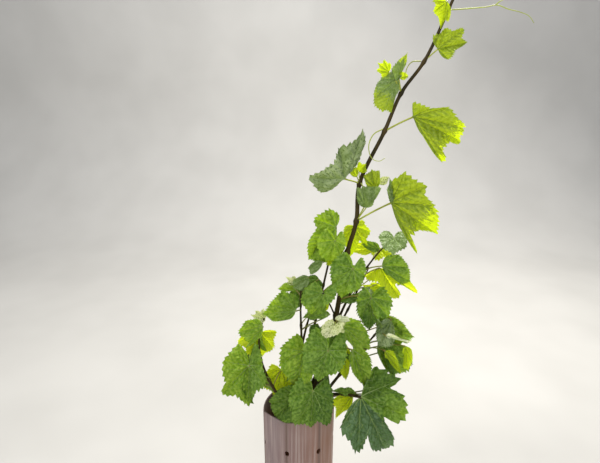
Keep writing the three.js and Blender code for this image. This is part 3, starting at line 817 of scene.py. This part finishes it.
def usual_blade(size, fold=12.0, bend=0.5, cup=0.12, kind="round"):
    """A blade of the usual shape, a little different each time."""
    lobes = {side: [(angle + rng.uniform(-ANGLE_JITTER, ANGLE_JITTER), reach * rng.uniform(*REACH_JITTER))
                    for angle, reach in USUAL_LOBES] for side in (-1, 1)}
    detail = PLAIN if size > OTHER_PLAIN_FROM else SMALL
    return Blade(lobes, {-1: [], 1: []}, kind, fold, bend, cup, detail, OTHER_TOOTH, wave=OTHER_WAVE)


def add_leaf(pose, tint, root, **shape):
    """A leaf of the usual shape, on its stalk."""
    add_blade(usual_blade(pose[-1], **shape), pose, tint)
    add_stalk(root, pose)


# Leaves of the far side and the flanks, by a seeded rule: behind leaves that the photograph shows stand
# others, at the depths listed, whose upper faces look back, left or right. Each hangs from the nearest
# place on its shoot, and is turned and made smaller until the leaves in front hide it in the photograph
LOOKS = {"back": (0.0, 1.0, 0.45), "left": (-1.0, 0.1, 0.40), "right": (1.0, 0.1, 0.40)}
BACKED = {
    "far_left_big": dict(shoot="far_left_shoot", back=(-0.020, 0.015), left=(-0.040, 0.000),
        right=(-0.005,)),
    "far_left_grey": dict(shoot="far_left_shoot", back=(-0.010,), left=(-0.025,)),
    "left_upper": dict(shoot="left_shoot", back=(0.000, 0.045), left=(-0.020, 0.025), right=(0.010,)),
    "left_centre": dict(shoot="back_shoot", back=(0.070, 0.100), left=(0.010, 0.050), right=(-0.030,)),
    "left_middle": dict(shoot="back_shoot", back=(0.085,), left=(-0.020, 0.030), right=(0.050,)),
    "rim_left": dict(shoot="back_shoot", back=(0.075,), left=(0.060,)),
    "rim_front": dict(shoot="back_shoot", back=(0.065, 0.095), left=(0.080,), right=(0.070,)),
    "front_centre": dict(shoot="back_shoot", back=(0.030, 0.070, 0.105), left=(0.050,),
        right=(0.010, 0.085)),
    "front_right": dict(shoot="right_low_shoot", right=(-0.050, -0.010)),
    "front_low_right": dict(shoot="right_low_shoot", right=(-0.020, 0.020)),
    "low_right_big": dict(shoot="right_low_shoot", back=(-0.035,), right=(-0.050,), left=(-0.020,)),
    "right_centre": dict(shoot="back_right_shoot", back=(0.000, 0.050, 0.100), left=(0.080,),
        right=(-0.025, 0.030, 0.070)),
    "right_folded": dict(shoot="right_low_shoot", right=(0.005, 0.040)),
    "right_edge": dict(shoot="back_right_shoot", back=(0.030, 0.075), right=(0.010, 0.085)),
    "right_upper": dict(shoot="right_shoot", back=(0.060, 0.100), right=(0.080,)),
    "centre": dict(shoot="centre_shoot", back=(0.020, 0.065, 0.110), left=(0.000, 0.085),
        right=(-0.020, 0.045)),
    "centre_glossy": dict(shoot="centre_shoot", back=(0.035, 0.075), left=(0.010, 0.055)),
    "centre_high": dict(shoot="centre_shoot", back=(0.060,), left=(0.035,), right=(0.045,)),
    "band": dict(shoot="right_shoot", back=(0.070,)),
}
BACK_SEED = 5
BACK_TRIES = 60
BACK_SHARES = (0.80, 0.55)
BACK_SIZES = (0.030, 0.064)
BACK_FOLDS, BACK_BENDS, BACK_CUPS = (6, 22), (0.3, 0.7), (0.05, 0.15)
PIXEL_JITTER, FACE_JITTER, DROOP_JITTER, HEIGHT_JITTER = 4, 0.35, 0.7, 0.03
FOOT_SHARE, TIP_SHARE, MIDDLE_SHARE = 0.6, 0.4, 0.25
HIDDEN_SHARE = 0.97
HIDDEN_STALK_SHARE = 0.75
STALK_CHECKS = 8
LOWEST_BACK = 0.385
BACK_TINTS = ("dark", "mid", "mid", "light", "grey")


def hidden_share(pixels):
    """The share of some pixels that lie behind leaves of the photograph."""
    return np.any([within(pixels, outline) for outline in seen_outlines], axis=0).mean()


def add_leaf_behind(name, shoot, look, depth, number):
    """A leaf hidden behind a named one, with its upper face to the back or to one side."""
    chance = np.random.default_rng([BACK_SEED, number])
    front = SEEN[name]
    foot, tip = np.array(front["foot"]), np.array(front["tip"])
    near = spot(foot, front["depth"])
    length = np.linalg.norm(spot(tip, front["depth"]) - near) * (depth - EYE[1]) / (front["depth"] - EYE[1])
    for attempt in range(BACK_TRIES):
        share = BACK_SHARES[0] + (BACK_SHARES[1] - BACK_SHARES[0]) * attempt / BACK_TRIES
        size = min(max(length * share, BACK_SIZES[0]), BACK_SIZES[1])
        pixel = foot * FOOT_SHARE + tip * TIP_SHARE + chance.uniform(-PIXEL_JITTER, PIXEL_JITTER, 2)
        middle = spot(pixel, depth)
        middle[2] = max(middle[2], LOWEST_BACK + chance.uniform(0.0, HEIGHT_JITTER))
        face = unit(np.array(LOOKS[look]) + chance.uniform(-FACE_JITTER, FACE_JITTER, 3))
        down = np.array([*chance.uniform(-DROOP_JITTER, DROOP_JITTER, 2), -1.0])
        midrib = square_to(down, face)
        base = middle - midrib * size * MIDDLE_SHARE
        pose = (base, midrib, face, size)
        blade = usual_blade(size, chance.uniform(*BACK_FOLDS), chance.uniform(*BACK_BENDS),
                            chance.uniform(*BACK_CUPS))
        root = stalk_root(shoot, base)
        stalk = pixels_of(np.linspace(root, base, STALK_CHECKS))
        if (hidden_share(outline_pixels(blade, pose)) > HIDDEN_SHARE
                and hidden_share(stalk) > HIDDEN_STALK_SHARE):
            add_blade(blade, pose, chance.choice(BACK_TINTS), veins="far")
            add_stalk(root, pose)
            return


far_side = [(name, row["shoot"], look, depth)
            for name, row in BACKED.items() for look in LOOKS for depth in row.get(look, ())]
for number, row in enumerate(far_side):
    add_leaf_behind(*row, number)

# Top of the main shoot, above the photograph: alternate leaves that get smaller, and the growing tip
TOP_LEAVES = [
    dict(knot=13, foot=(0.284, -0.008, 1.146), towards=(0.55, -0.3, -0.62), size=0.044, tint="bright"),
    dict(knot=14, foot=(0.264, 0.008, 1.206), towards=(-0.5, -0.3, -0.5), size=0.036, tint="young"),
    dict(knot=15, foot=(0.314, -0.004, 1.246), towards=(0.6, -0.3, -0.3), size=0.028, tint="young"),
    dict(knot=16, foot=(0.298, -0.004, 1.284), towards=(-0.5, -0.5, 0.2), size=0.018, tint="downy"),
    dict(knot=17, foot=(0.316, -0.002, 1.302), towards=(0.4, -0.3, 0.5), size=0.014, tint="downy"),
    dict(knot=17, foot=(0.311, 0.002, 1.304), towards=(-0.2, 0.4, 0.6), size=0.012, tint="downy"),
]
TOP_FACE = (0.1, -0.8, 0.5)
TOP_FOLD = 24
for leaf in TOP_LEAVES:
    midrib = unit(np.array(leaf["towards"]))
    face = square_to(unit(np.array(TOP_FACE)), midrib)
    pose = (np.array(leaf["foot"]), midrib, face, leaf["size"])
    add_leaf(pose, leaf["tint"], np.array(MAIN_KNOTS[leaf["knot"]]), fold=TOP_FOLD, kind="lobed")

# Tendrils, each a thin line through a few pixels at one depth, that starts opposite a leaf
TENDRILS = {
    "third_joint": dict(depth=-0.004, pixels=((383, 129), (374, 134), (369, 144), (370, 155), (374, 160),
        (380, 161), (385, 158))),
    "second_joint": dict(depth=-0.008, pixels=((361, 183), (365, 189), (370, 191), (373, 189))),
    "fifth_joint": dict(depth=-0.002, pixels=((421, 61), (412, 62), (407, 68), (406, 74), (408, 78))),
    "sixth_joint": dict(depth=0.002, heap="long_tendril_line", pixels=((447, 10), (462, 9), (474, 8),
        (486, 7), (497, 5), (508, 9), (520, 12), (529, 16), (534, 23))),
    "sixth_joint_fork": dict(depth=0.002, heap="long_tendril_line", pixels=((496, 5), (499, 2), (503, 0))),
}
TENDRIL_RADII = (0.0011, 0.0005)
TENDRIL_STEPS, TENDRIL_SIDES = 60, 8
for tendril in TENDRILS.values():
    line = even(through([spot(pixel, tendril["depth"]) for pixel in tendril["pixels"]]), TENDRIL_STEPS)
    radii = np.linspace(*TENDRIL_RADII, TENDRIL_STEPS)
    sweep(heaps[tendril.get("heap", "tendrils")], line, radii, TENDRIL_SIDES)

# Downy young leaves, crowded where new side shoots break from the main one
DOWNY_SPOTS = {
    "left": dict(pixel=(331, 329), depth=-0.100, spread=0.0055, count=5),
    "right": dict(pixel=(339, 326), depth=-0.096, spread=0.0045, count=3),
    "above": dict(pixel=(343, 319), depth=-0.088, spread=0.0035, count=2),
}
DOWNY_TOWARDS, DOWNY_FACE, DOWNY_FACE_JITTER = (0, -0.3, -0.2), (0, -1.0, 0.4), 0.8
DOWNY_SIZES, DOWNY_FOLDS, DOWNY_BEND = (0.008, 0.013), (20, 45), 0.9
for cluster in DOWNY_SPOTS.values():
    middle = spot(cluster["pixel"], cluster["depth"])
    root = stalk_root("downy_twig", middle)
    for _ in range(cluster["count"]):
        foot = middle + rng.uniform(-1, 1, 3) * cluster["spread"]
        midrib = unit(np.array(DOWNY_TOWARDS) + rng.uniform(-1, 1, 3))
        face = unit(np.array(DOWNY_FACE) + rng.uniform(-DOWNY_FACE_JITTER, DOWNY_FACE_JITTER, 3))
        pose = (foot, midrib, square_to(face, midrib), rng.uniform(*DOWNY_SIZES))
        add_leaf(pose, "downy", root, fold=rng.uniform(*DOWNY_FOLDS), bend=DOWNY_BEND)


# Trunk and shoots: steps round and along them, and the depth, count, sway and pace of their relief
JOINT_SPACING, JOINT_SWELL, JOINT_LENGTH = 0.056, 0.42, 0.0045
CANE_SIDES, CANE_STEPS, MAIN_STEPS = 24, 200, 500
BARK_SIDES, BARK_STEPS, TRUNK_STEPS = 96, 240, 200
RIB_DEPTH, RIB_COUNT = 0.025, 14
FINE_RIB_DEPTH, FINE_RIB_COUNT, FINE_RIB_SLANT = 0.012, 23, 60
BARK_TWIST, BARK_INSET = 3.0, 0.05
STRIP_DEPTH, STRIP_COUNT, STRIP_SWAY, STRIP_PACE = 0.06, 4.5, 0.8, 40
FINE_DEPTH, FINE_COUNT, FINE_SWAY, FINE_PACE = 0.025, 17, 5, 25
FLAKE_DEPTH, FLAKE_COUNT, FLAKE_SLANT, FLAKE_PACE = 0.03, 9, 70, 55
TRUNK_RADIUS, TRUNK_TAPER = 0.0095, 0.0015
TRUNK_SWELLS = ((0.0, 0.009, 0.022), (0.052, 0.0045, 0.013), (TRUNK_HEIGHT - 0.010, 0.0055, 0.020),
    (TRUNK_HEIGHT, -0.011, 0.005))


def cane_relief(joints):
    """Fine ribs along a cane and a swelling at each joint."""
    def relief(along, angle):
        swell = sum(JOINT_SWELL * hump(along - joint, JOINT_LENGTH) for joint in joints)
        fine_ribs = FINE_RIB_DEPTH * np.cos(FINE_RIB_COUNT * angle + FINE_RIB_SLANT * along)
        return 1 + swell + (RIB_DEPTH * np.cos(RIB_COUNT * angle) + fine_ribs)
    return relief


def add_cane(name, joints, radii, steps):
    radius = radii[0] + (radii[1] - radii[0]) * np.linspace(0, 1, steps)
    sweep(heaps[name + "_cane"], even(stems[name], steps), radius, CANE_SIDES, cane_relief(joints))
    build(name + "_cane", cane_material, [name])


def bark_relief(along, angle):
    """Shaggy strips of bark that run up the trunk and twist a little."""
    twisted = angle + BARK_TWIST * along
    strips = STRIP_DEPTH * np.abs(np.sin(STRIP_COUNT * twisted + STRIP_SWAY * np.sin(STRIP_PACE * along)))
    fine = FINE_DEPTH * np.sin(FINE_COUNT * twisted + FINE_SWAY * np.sin(FINE_PACE * along))
    flakes = FLAKE_DEPTH * np.sin(FLAKE_COUNT * twisted + FLAKE_SLANT * along) * np.sin(FLAKE_PACE * along)
    return 1 + strips + fine + flakes - BARK_INSET


def trunk_radius(height):
    """The trunk's taper, with its root flare, the graft's swelling, its head and its rounded top."""
    swells = [rise * hump(height - middle, reach) for middle, rise, reach in TRUNK_SWELLS]
    return sum(swells, TRUNK_RADIUS - TRUNK_TAPER * height / TRUNK_HEIGHT)


# Materials: plain base colours, varied by noise and by place in the node tree
def linear(colour):
    """A display colour, 0 to 255, as the linear colour that shaders use."""
    shares = np.array(colour, dtype=float) / 255
    return tuple(np.where(shares <= 0.04045, shares / 12.92, ((shares + 0.055) / 1.055) ** 2.4)) + (1.0,)


class Surface:
    """A node material built up step by step round one principled shader. Colours are display colours."""

    def __init__(self, name):
        self.material = bpy.data.materials.new(name)
        self.material.use_nodes = True
        self.nodes = self.material.node_tree.nodes
        self.shader = self.nodes["Principled BSDF"]
        self.place = self.add("ShaderNodeTexCoord", "Object")

    def feed(self, socket, value):
        """Link an output to an input, or give the input a value."""
        if isinstance(value, bpy.types.NodeSocket):
            self.material.node_tree.links.new(value, socket)
        else:
            socket.default_value = value

    def add(self, kind, output, inputs=(), **settings):
        """An output of a new node, after its settings and inputs are made."""
        node = self.nodes.new(kind)
        for key, value in settings.items():
            setattr(node, key, value)
        for key, value in dict(inputs).items():
            self.feed(node.inputs[key], value)
        return node.outputs[output]

    def noise(self, scale, detail=2.0, stretch=None):
        place = self.place
        if stretch is not None:
            place = self.add("ShaderNodeMapping", "Vector", {"Vector": place, "Scale": stretch})
        return self.add("ShaderNodeTexNoise", "Fac", {"Scale": scale, "Detail": detail, "Vector": place})

    def blend(self, share, first, second, low=0.35, high=0.65):
        """First colour where share is low, second where it is high."""
        first, second = (linear(value) if isinstance(value, tuple) else value for value in (first, second))
        limits = {"Value": share, "From Min": low, "From Max": high}
        factor = self.add("ShaderNodeMapRange", "Result", limits)
        colours = {"Factor": factor, "A": first, "B": second}
        return self.add("ShaderNodeMix", "Result", colours, data_type="RGBA")

    def nearest(self, lines):
        """The distance to the nearest of some upright lines."""
        ground = {0: self.place, 1: (1.0, 1.0, 0.0)}
        flat = self.add("ShaderNodeVectorMath", "Vector", ground, operation="MULTIPLY")
        least = FAR_AWAY
        for x, y in lines:
            apart = self.add("ShaderNodeVectorMath", "Value", {0: flat, 1: (x, y, 0.0)}, operation="DISTANCE")
            least = self.add("ShaderNodeMath", "Value", {0: least, 1: apart}, operation="MINIMUM")
        return least

    def bump(self, height, strength, distance):
        relief = {"Height": height, "Strength": strength, "Distance": distance}
        self.feed(self.shader.inputs["Normal"], self.add("ShaderNodeBump", "Normal", relief))

    def finish(self, colour, rough, gloss=0.5, lit=None, share=0.25):
        """The material. A lit colour glows with the light that falls on the other side."""
        for name, value in (("Base Color", colour), ("Roughness", rough), ("Specular IOR Level", gloss)):
            self.feed(self.shader.inputs[name], value)
        if lit is not None:
            glow = self.add("ShaderNodeBsdfTranslucent", "BSDF", {"Color": linear(lit)})
            both = {"Fac": share, 1: self.shader.outputs["BSDF"], 2: glow}
            whole = self.add("ShaderNodeMixShader", "Shader", both)
            self.feed(self.nodes["Material Output"].inputs["Surface"], whole)
        return self.material


# Noise scales and details, the noise between which two colours blend, and bump strengths and heights
LEAF_PATCHES, LEAF_EDGES = (210.0, 5.0), (0.36, 0.64)
LEAF_RELIEF, LEAF_BUMP, LEAF_GLOSS = (150.0, 4.0), (1.0, 0.006), 0.4
MOTTLE_PATCHES, MOTTLE_EDGES, MOTTLE_ROUGHNESS = 60.0, (0.56, 0.62), 0.5
MOTTLE_DETAIL, MOTTLE_BUMP = 3.0, (0.5, 0.001)
WOOD_STRIPES, WOOD_BUMP, WOOD_GLOSS = (90.0, 4.0), (0.6, 0.0008), 0.2
SATIN = 0.45


def leaf_material(name, first, second, lit, share=0.28, rough=SATIN):
    surface = Surface(name)
    colour = surface.blend(surface.noise(*LEAF_PATCHES), first, second, *LEAF_EDGES)
    surface.bump(surface.noise(*LEAF_RELIEF), *LEAF_BUMP)
    return surface.finish(colour, rough, LEAF_GLOSS, lit, share)


def mottled_material(name, first, second, spots, lit, scale):
    """A leaf with small darker spots."""
    surface = Surface(name)
    patches = surface.blend(surface.noise(MOTTLE_PATCHES), first, second)
    colour = surface.blend(surface.noise(scale), patches, spots, *MOTTLE_EDGES)
    surface.bump(surface.noise(scale, MOTTLE_DETAIL), *MOTTLE_BUMP)
    return surface.finish(colour, MOTTLE_ROUGHNESS, lit=lit)


def plain_material(name, first, second, rough=SATIN, scale=30.0):
    surface = Surface(name)
    return surface.finish(surface.blend(surface.noise(scale), first, second), rough)


def striped_wood(name, first, second, rough, ribs):
    surface = Surface(name)
    stripes = surface.noise(*WOOD_STRIPES, (1.0, 1.0, ribs))
    surface.bump(stripes, *WOOD_BUMP)
    return surface.finish(surface.blend(stripes, first, second), rough, WOOD_GLOSS)


LEAF_MATERIALS = {
    "dark": leaf_material("leaf_dark", (48, 86, 8), (110, 142, 52), (118, 158, 24)),
    # The bluish tint is leaf green with a painted bluish reflection of the sky.
    "blue": leaf_material("leaf_green_with_sky_sheen", (70, 104, 52), (108, 138, 96), (96, 130, 40), rough=0.32),
    "mid": leaf_material("leaf_mid", (70, 112, 6), (138, 172, 68), (148, 180, 24)),
    "light": leaf_material("leaf_light", (96, 140, 4), (160, 190, 62), (168, 200, 24)),
    "bright": leaf_material("leaf_bright", (104, 132, 12), (146, 166, 52), (176, 196, 28)),
    # The young tint is the yellow-green of young leaves, and also painted light on other leaves that the sun
    # shines through.
    "young": leaf_material("leaf_young_and_backlit", (166, 194, 6), (202, 220, 44), (210, 232, 16), share=0.42),
    "sunlit": leaf_material("leaf_sunlit", (212, 236, 10), (230, 244, 60), (240, 255, 30), share=0.5),
    "grey": leaf_material("leaf_grey", (104, 132, 62), (142, 164, 104), (130, 155, 50), rough=0.36),
    "downy": mottled_material("leaf_downy", (212, 218, 150), (234, 236, 190), spots=(128, 148, 66),
        lit=(206, 214, 110), scale=480.0),
    "pale": leaf_material("leaf_pale", (226, 232, 180), (244, 246, 216), (220, 226, 150), rough=0.7),
    "mottled": mottled_material("leaf_mottled", (106, 126, 78), (160, 176, 128), spots=(64, 88, 44),
        lit=(120, 140, 60), scale=330.0),
}
pale_vein_material = plain_material("vein_pale", (124, 150, 70), (144, 166, 94), 0.5, 120.0)
deep_vein_material = plain_material("vein_deep", (112, 134, 24), (134, 152, 44), 0.5, 120.0)
stalk_material = plain_material("stalk", (118, 96, 40), (132, 142, 56))
green_stalk_material = plain_material("green_stalk", (146, 150, 44), (172, 180, 70))
tendril_material = plain_material("tendril", (176, 190, 70), (150, 150, 84), scale=20.0)
# The cane's brown is painted nearly black: the shoots' own brown with painted shade, as they stand against
# the light.
cane_material = striped_wood("cane", (34, 32, 10), (70, 56, 22), 0.6, 0.15)
bark_material = striped_wood("bark", (58, 44, 34), (118, 98, 78), 0.85, 0.12)

# Build the leaves, the veins and the stalks
YOUNG_AND_BACKLIT_TINTS = ("young", "sunlit", "downy", "pale", "bright")
SMALL_PIECES = {
    "veins_pale": (pale_vein_material, "leaves"),
    "veins_deep": (deep_vein_material, "leaves"),
    "veins_far": (pale_vein_material, "leaves"),
    "stalks": (stalk_material, "cane"),
    "green_stalks": (green_stalk_material, "cane"),
    "woody_stalks": (cane_material, "cane"),
    "tendrils": (tendril_material, "young_leaves"),
}
for tint, material in LEAF_MATERIALS.items():
    slot = "young_leaves" if tint in YOUNG_AND_BACKLIT_TINTS else "leaves"
    build("leaves_" + tint, material, ALL_LEAF_NODES)
for name, (material, slot) in SMALL_PIECES.items():
    build(name, material, ALL_LEAF_NODES)
build("long_tendril_line", tendril_material, ["long_tendril"])

# Build the shoots and the trunk
main_line = even(stems["main_shoot"], MAIN_STEPS)
main_joints = [lengths(main_line)[int(np.argmin(np.linalg.norm(main_line - knot, axis=1)))]
               for knot in MAIN_KNOTS[1:]]
add_cane("main_shoot", main_joints, MAIN_RADII, MAIN_STEPS)
for name in SIDE_CONTROLS:
    reach = lengths(stems[name])[-1]
    add_cane(name, np.arange(JOINT_SPACING, reach, JOINT_SPACING), SIDE_RADII, CANE_STEPS)
trunk_line = even(bezier(TRUNK_CONTROLS, TRUNK_STEPS), BARK_STEPS)
sweep(heaps["trunk_bark"], trunk_line, trunk_radius(trunk_line[:, 2]), BARK_SIDES, bark_relief)
build("trunk_bark", bark_material, ["trunk"])

# Grow tube: a six-sided sleeve of twin-wall sheet, open pockets at its rim, one vent on each fold
TUBE_WIDTH = 0.148
TUBE_SHIFT = 0.004
TUBE_DEPTH = 0.112
TUBE_HEIGHT = 0.340
TUBE_WALL = 0.003
TUBE_FOLDS = 6
TUBE_ROWS = 12
FIRST_FOLD = math.radians(-18 - 90)
FOLD_SQUEEZE = math.radians(9)
FLATNESS = 0.5
CREASE_DEPTH, CREASE_WIDTH = 0.0009, 0.012
SHARP_ANGLE = math.radians(40)
VENT_RADIUS = 0.0045
VENT_STRETCH = 1.5
VENT_DROP = 0.074
VENT_SIDES, VENT_SPAN = 24, np.array([[0.8], [1.1]])
FLUTES = 11 * TUBE_FOLDS
FLUTE_DEPTH = 0.0005
FLUTE_POINTS = 8
POCKET_DEPTH = 0.010
POCKET_SHARE = 0.84
SKIN = 0.0006

# Its colours, the left lighter as painted light and the right browner as painted warm shade, where they
# blend, and the scales of its stained patches and streaks
TUBE_LIT_LEFT = ((147, 125, 125), (158, 140, 138))
TUBE_SHADED_RIGHT = ((158, 115, 93), (170, 131, 113))
TUBE_STREAK, TUBE_FOLD, TUBE_LIT = (200, 180, 172), (120, 98, 88), (188, 154, 134)
TUBE_ROUGHNESS, TUBE_GLOSS = 0.5, 0.35
SIDE_SHADE_EDGES, STREAK_EDGES, FOLD_EDGES = (-0.045, 0.065), (0.48, 0.78), (0.0, 0.005)
STAINS, STREAKS, STREAK_BUMP = 16.0, (260.0, 3.0, (1.0, 1.0, 0.02)), (0.5, 0.0006)


def tube_point(share, inset):
    """A point of the sleeve's outline, share of the way round, moved in by inset."""
    face_angle = 2 * math.pi / TUBE_FOLDS
    turn = share * 2 * math.pi
    flat = math.cos(face_angle / 2) / np.cos(turn % face_angle - face_angle / 2)
    reach = 1 - FLATNESS + FLATNESS * flat
    angle = FIRST_FOLD + turn - FOLD_SQUEEZE * np.sin(turn)
    return np.stack([TUBE_SHIFT + np.cos(angle) * (TUBE_WIDTH / 2 - inset) * reach,
                     np.sin(angle) * (TUBE_DEPTH / 2 - inset) * reach], -1)


def tube_material():
    """Pinkish grey sheet, lighter on its left as painted light and browner towards its right as painted warm
    shade, with upright streaks and a dark one at each fold.
    """
    surface = Surface("tube_sheet")
    across = surface.add("ShaderNodeSeparateXYZ", "X", {"Vector": surface.place})
    left, right = (surface.blend(surface.noise(STAINS), *pair) for pair in (TUBE_LIT_LEFT, TUBE_SHADED_RIGHT))
    # Painted light and shade: the lighter left blends into the browner right across the sleeve.
    stains_and_side_shade = surface.blend(across, left, right, *SIDE_SHADE_EDGES)
    streaks = surface.noise(*STREAKS)
    faded = surface.blend(streaks, stains_and_side_shade, TUBE_STREAK, *STREAK_EDGES)
    folds = tube_point(np.arange(TUBE_FOLDS) / TUBE_FOLDS, 0.0)
    surface.bump(streaks, *STREAK_BUMP)
    colour = surface.blend(surface.nearest(folds), TUBE_FOLD, faded, *FOLD_EDGES)
    return surface.finish(colour, TUBE_ROUGHNESS, TUBE_GLOSS, TUBE_LIT)


def level(ring, height):
    """A flat ring of points, at a height."""
    return np.column_stack([ring, np.full(len(ring), height)])


def tube_cutter():
    """A pocket between the skins of each flute, open at the rim, and a bar through each fold for its vent."""
    heap = heaps["cutter"]
    sides = np.array([0.5 - POCKET_SHARE / 2, 0.5 + POCKET_SHARE / 2])
    walls = [[j, (j + 1) % 4, 4 + (j + 1) % 4, 4 + j] for j in range(4)]
    box_faces = halved(*np.array([[3, 2, 1, 0], [4, 5, 6, 7], *walls]).T)
    for flute in range(FLUTES):
        share = (flute + sides) / FLUTES
        outer = tube_point(share, SKIN + FLUTE_DEPTH)
        inner = tube_point(share, TUBE_WALL - SKIN - FLUTE_DEPTH)
        ring = np.vstack([outer, inner[::-1]])
        points = [level(ring, z) for z in (TUBE_HEIGHT - POCKET_DEPTH, TUBE_HEIGHT + SKIN)]
        heap.add(np.vstack(points), box_faces)
    middle = np.array([TUBE_SHIFT, 0.0, TUBE_HEIGHT - VENT_DROP])
    for fold in range(TUBE_FOLDS):
        way = np.array([*tube_point(fold / TUBE_FOLDS, 0.0), middle[2]]) - middle
        bar = Heap()
        sweep(bar, way * VENT_SPAN, np.full(2, VENT_RADIUS), VENT_SIDES)
        heap.add(middle + bar.points[0] * (1, 1, VENT_STRETCH), bar.faces[0])
    return heap.mesh("cutter")


def less(mesh, cutter):
    """The mesh with the cutter taken away."""
    body, tool = linked("body", mesh), linked("tool", cutter)
    cut = body.modifiers.new("cut", "BOOLEAN")
    cut.operation = "DIFFERENCE"
    cut.solver = "EXACT"
    cut.object = tool
    result = bpy.data.meshes.new_from_object(body.evaluated_get(bpy.context.evaluated_depsgraph_get()))
    bpy.data.objects.remove(body)
    bpy.data.objects.remove(tool)
    return result


def build_tube():
    """The sleeve, fluted inside and out, with its pockets and vents cut and a crease at each fold."""
    count = FLUTES * FLUTE_POINTS
    share = np.arange(count) / count
    hollow = FLUTE_DEPTH * np.sin(math.pi * (share * FLUTES % 1.0)) ** 2
    crease = CREASE_DEPTH * hump((share * TUBE_FOLDS + 0.5) % 1.0 - 0.5, CREASE_WIDTH)
    heights = np.linspace(0, TUBE_HEIGHT, TUBE_ROWS)
    rows = [level(tube_point(share, hollow + crease), z) for z in heights]
    rows += [level(tube_point(share, TUBE_WALL - hollow), z) for z in heights[::-1]]
    points = np.vstack(rows)
    faces = np.stack(ring_corners(len(rows) + 1, count), -1).reshape(-1, 4) % len(points)
    mesh = less(new_mesh("ring", points, faces), tube_cutter())
    mesh.materials.clear()
    finished("tube_sleeve", mesh, tube_material(), ["grow_tube"])
    mesh.set_sharp_from_angle(angle=SHARP_ANGLE)


build_tube()

# Floor, lights and world
FLOOR_SIZE = 6.0
FLOOR_COLOURS, FLOOR_ROUGHNESS, FLOOR_PATCHES = ((184, 182, 178), (190, 188, 184)), 0.9, 3.0
CURVE_START, CURVE_RADIUS, WALL_TOP = 1.6, 1.0, 5.0
CURVE_ANGLES = np.linspace(0.1, math.pi / 2, 14)
PLANT_MIDDLE = (0.08, 0.0, 0.6)
WALL_MIDDLE = (0.1, 2.6, 1.0)
LIGHTS = {
    "key": dict(place=(0.9, 1.1, 2.4), size=0.5, power=74.0, colour=(1.0, 0.97, 0.90)),
    "front_fill": dict(place=(0.3, -2.3, 1.5), size=2.0, power=24.0, colour=(0.97, 0.98, 1.0)),
    "left_glow": dict(place=(-1.6, -0.6, 2.2), size=0.6, power=22.0, colour=(1.0, 0.98, 0.92)),
    "wall_wash": dict(place=(0.1, 0.9, 2.6), size=1.2, power=24.0, colour=(1.0, 1.0, 1.0),
        target=WALL_MIDDLE),
}
SKY_COLOUR = (0.92, 0.95, 1.0, 1.0)
SKY_STRENGTH = 0.55


def build_floor():
    """A pale floor that sweeps up into a back wall."""
    profile = [(-FLOOR_SIZE, 0.0), (CURVE_START, 0.0)]
    profile += [(CURVE_START + CURVE_RADIUS * math.sin(a), CURVE_RADIUS - CURVE_RADIUS * math.cos(a))
                for a in CURVE_ANGLES]
    profile.append((CURVE_START + CURVE_RADIUS, WALL_TOP))
    points = [(x, y, z) for y, z in profile for x in (-FLOOR_SIZE, FLOOR_SIZE)]
    faces = [(2 * i, 2 * i + 1, 2 * i + 3, 2 * i + 2) for i in range(len(profile) - 1)]
    mesh = new_mesh("floor", points, faces)
    mesh.polygons.foreach_set("use_smooth", [True] * len(mesh.polygons))
    mesh.materials.append(plain_material("floor", *FLOOR_COLOURS, FLOOR_ROUGHNESS, FLOOR_PATCHES))
    floor = linked("floor", mesh)


def add_light(name, place, size, power, colour, target=PLANT_MIDDLE):
    """A round lamp that faces its target."""
    data = bpy.data.lights.new(name, "AREA")
    data.shape = "DISK"
    data.size = size
    data.energy = power
    data.color = colour
    light = linked(name, data)
    light.location = place
    towards = np.array(target) - np.array(place)
    pitch = math.atan2(math.hypot(towards[0], towards[1]), -towards[2])
    light.rotation_euler = (pitch, 0, math.atan2(-towards[0], towards[1]))


build_floor()
for name, light in LIGHTS.items():
    add_light(name, **light)

world = bpy.data.worlds.new("world")
world.use_nodes = True
sky = world.node_tree.nodes["Background"].inputs
sky["Color"].default_value = SKY_COLOUR
sky["Strength"].default_value = SKY_STRENGTH
scene.world = world
scene.view_settings.view_transform = "Standard"
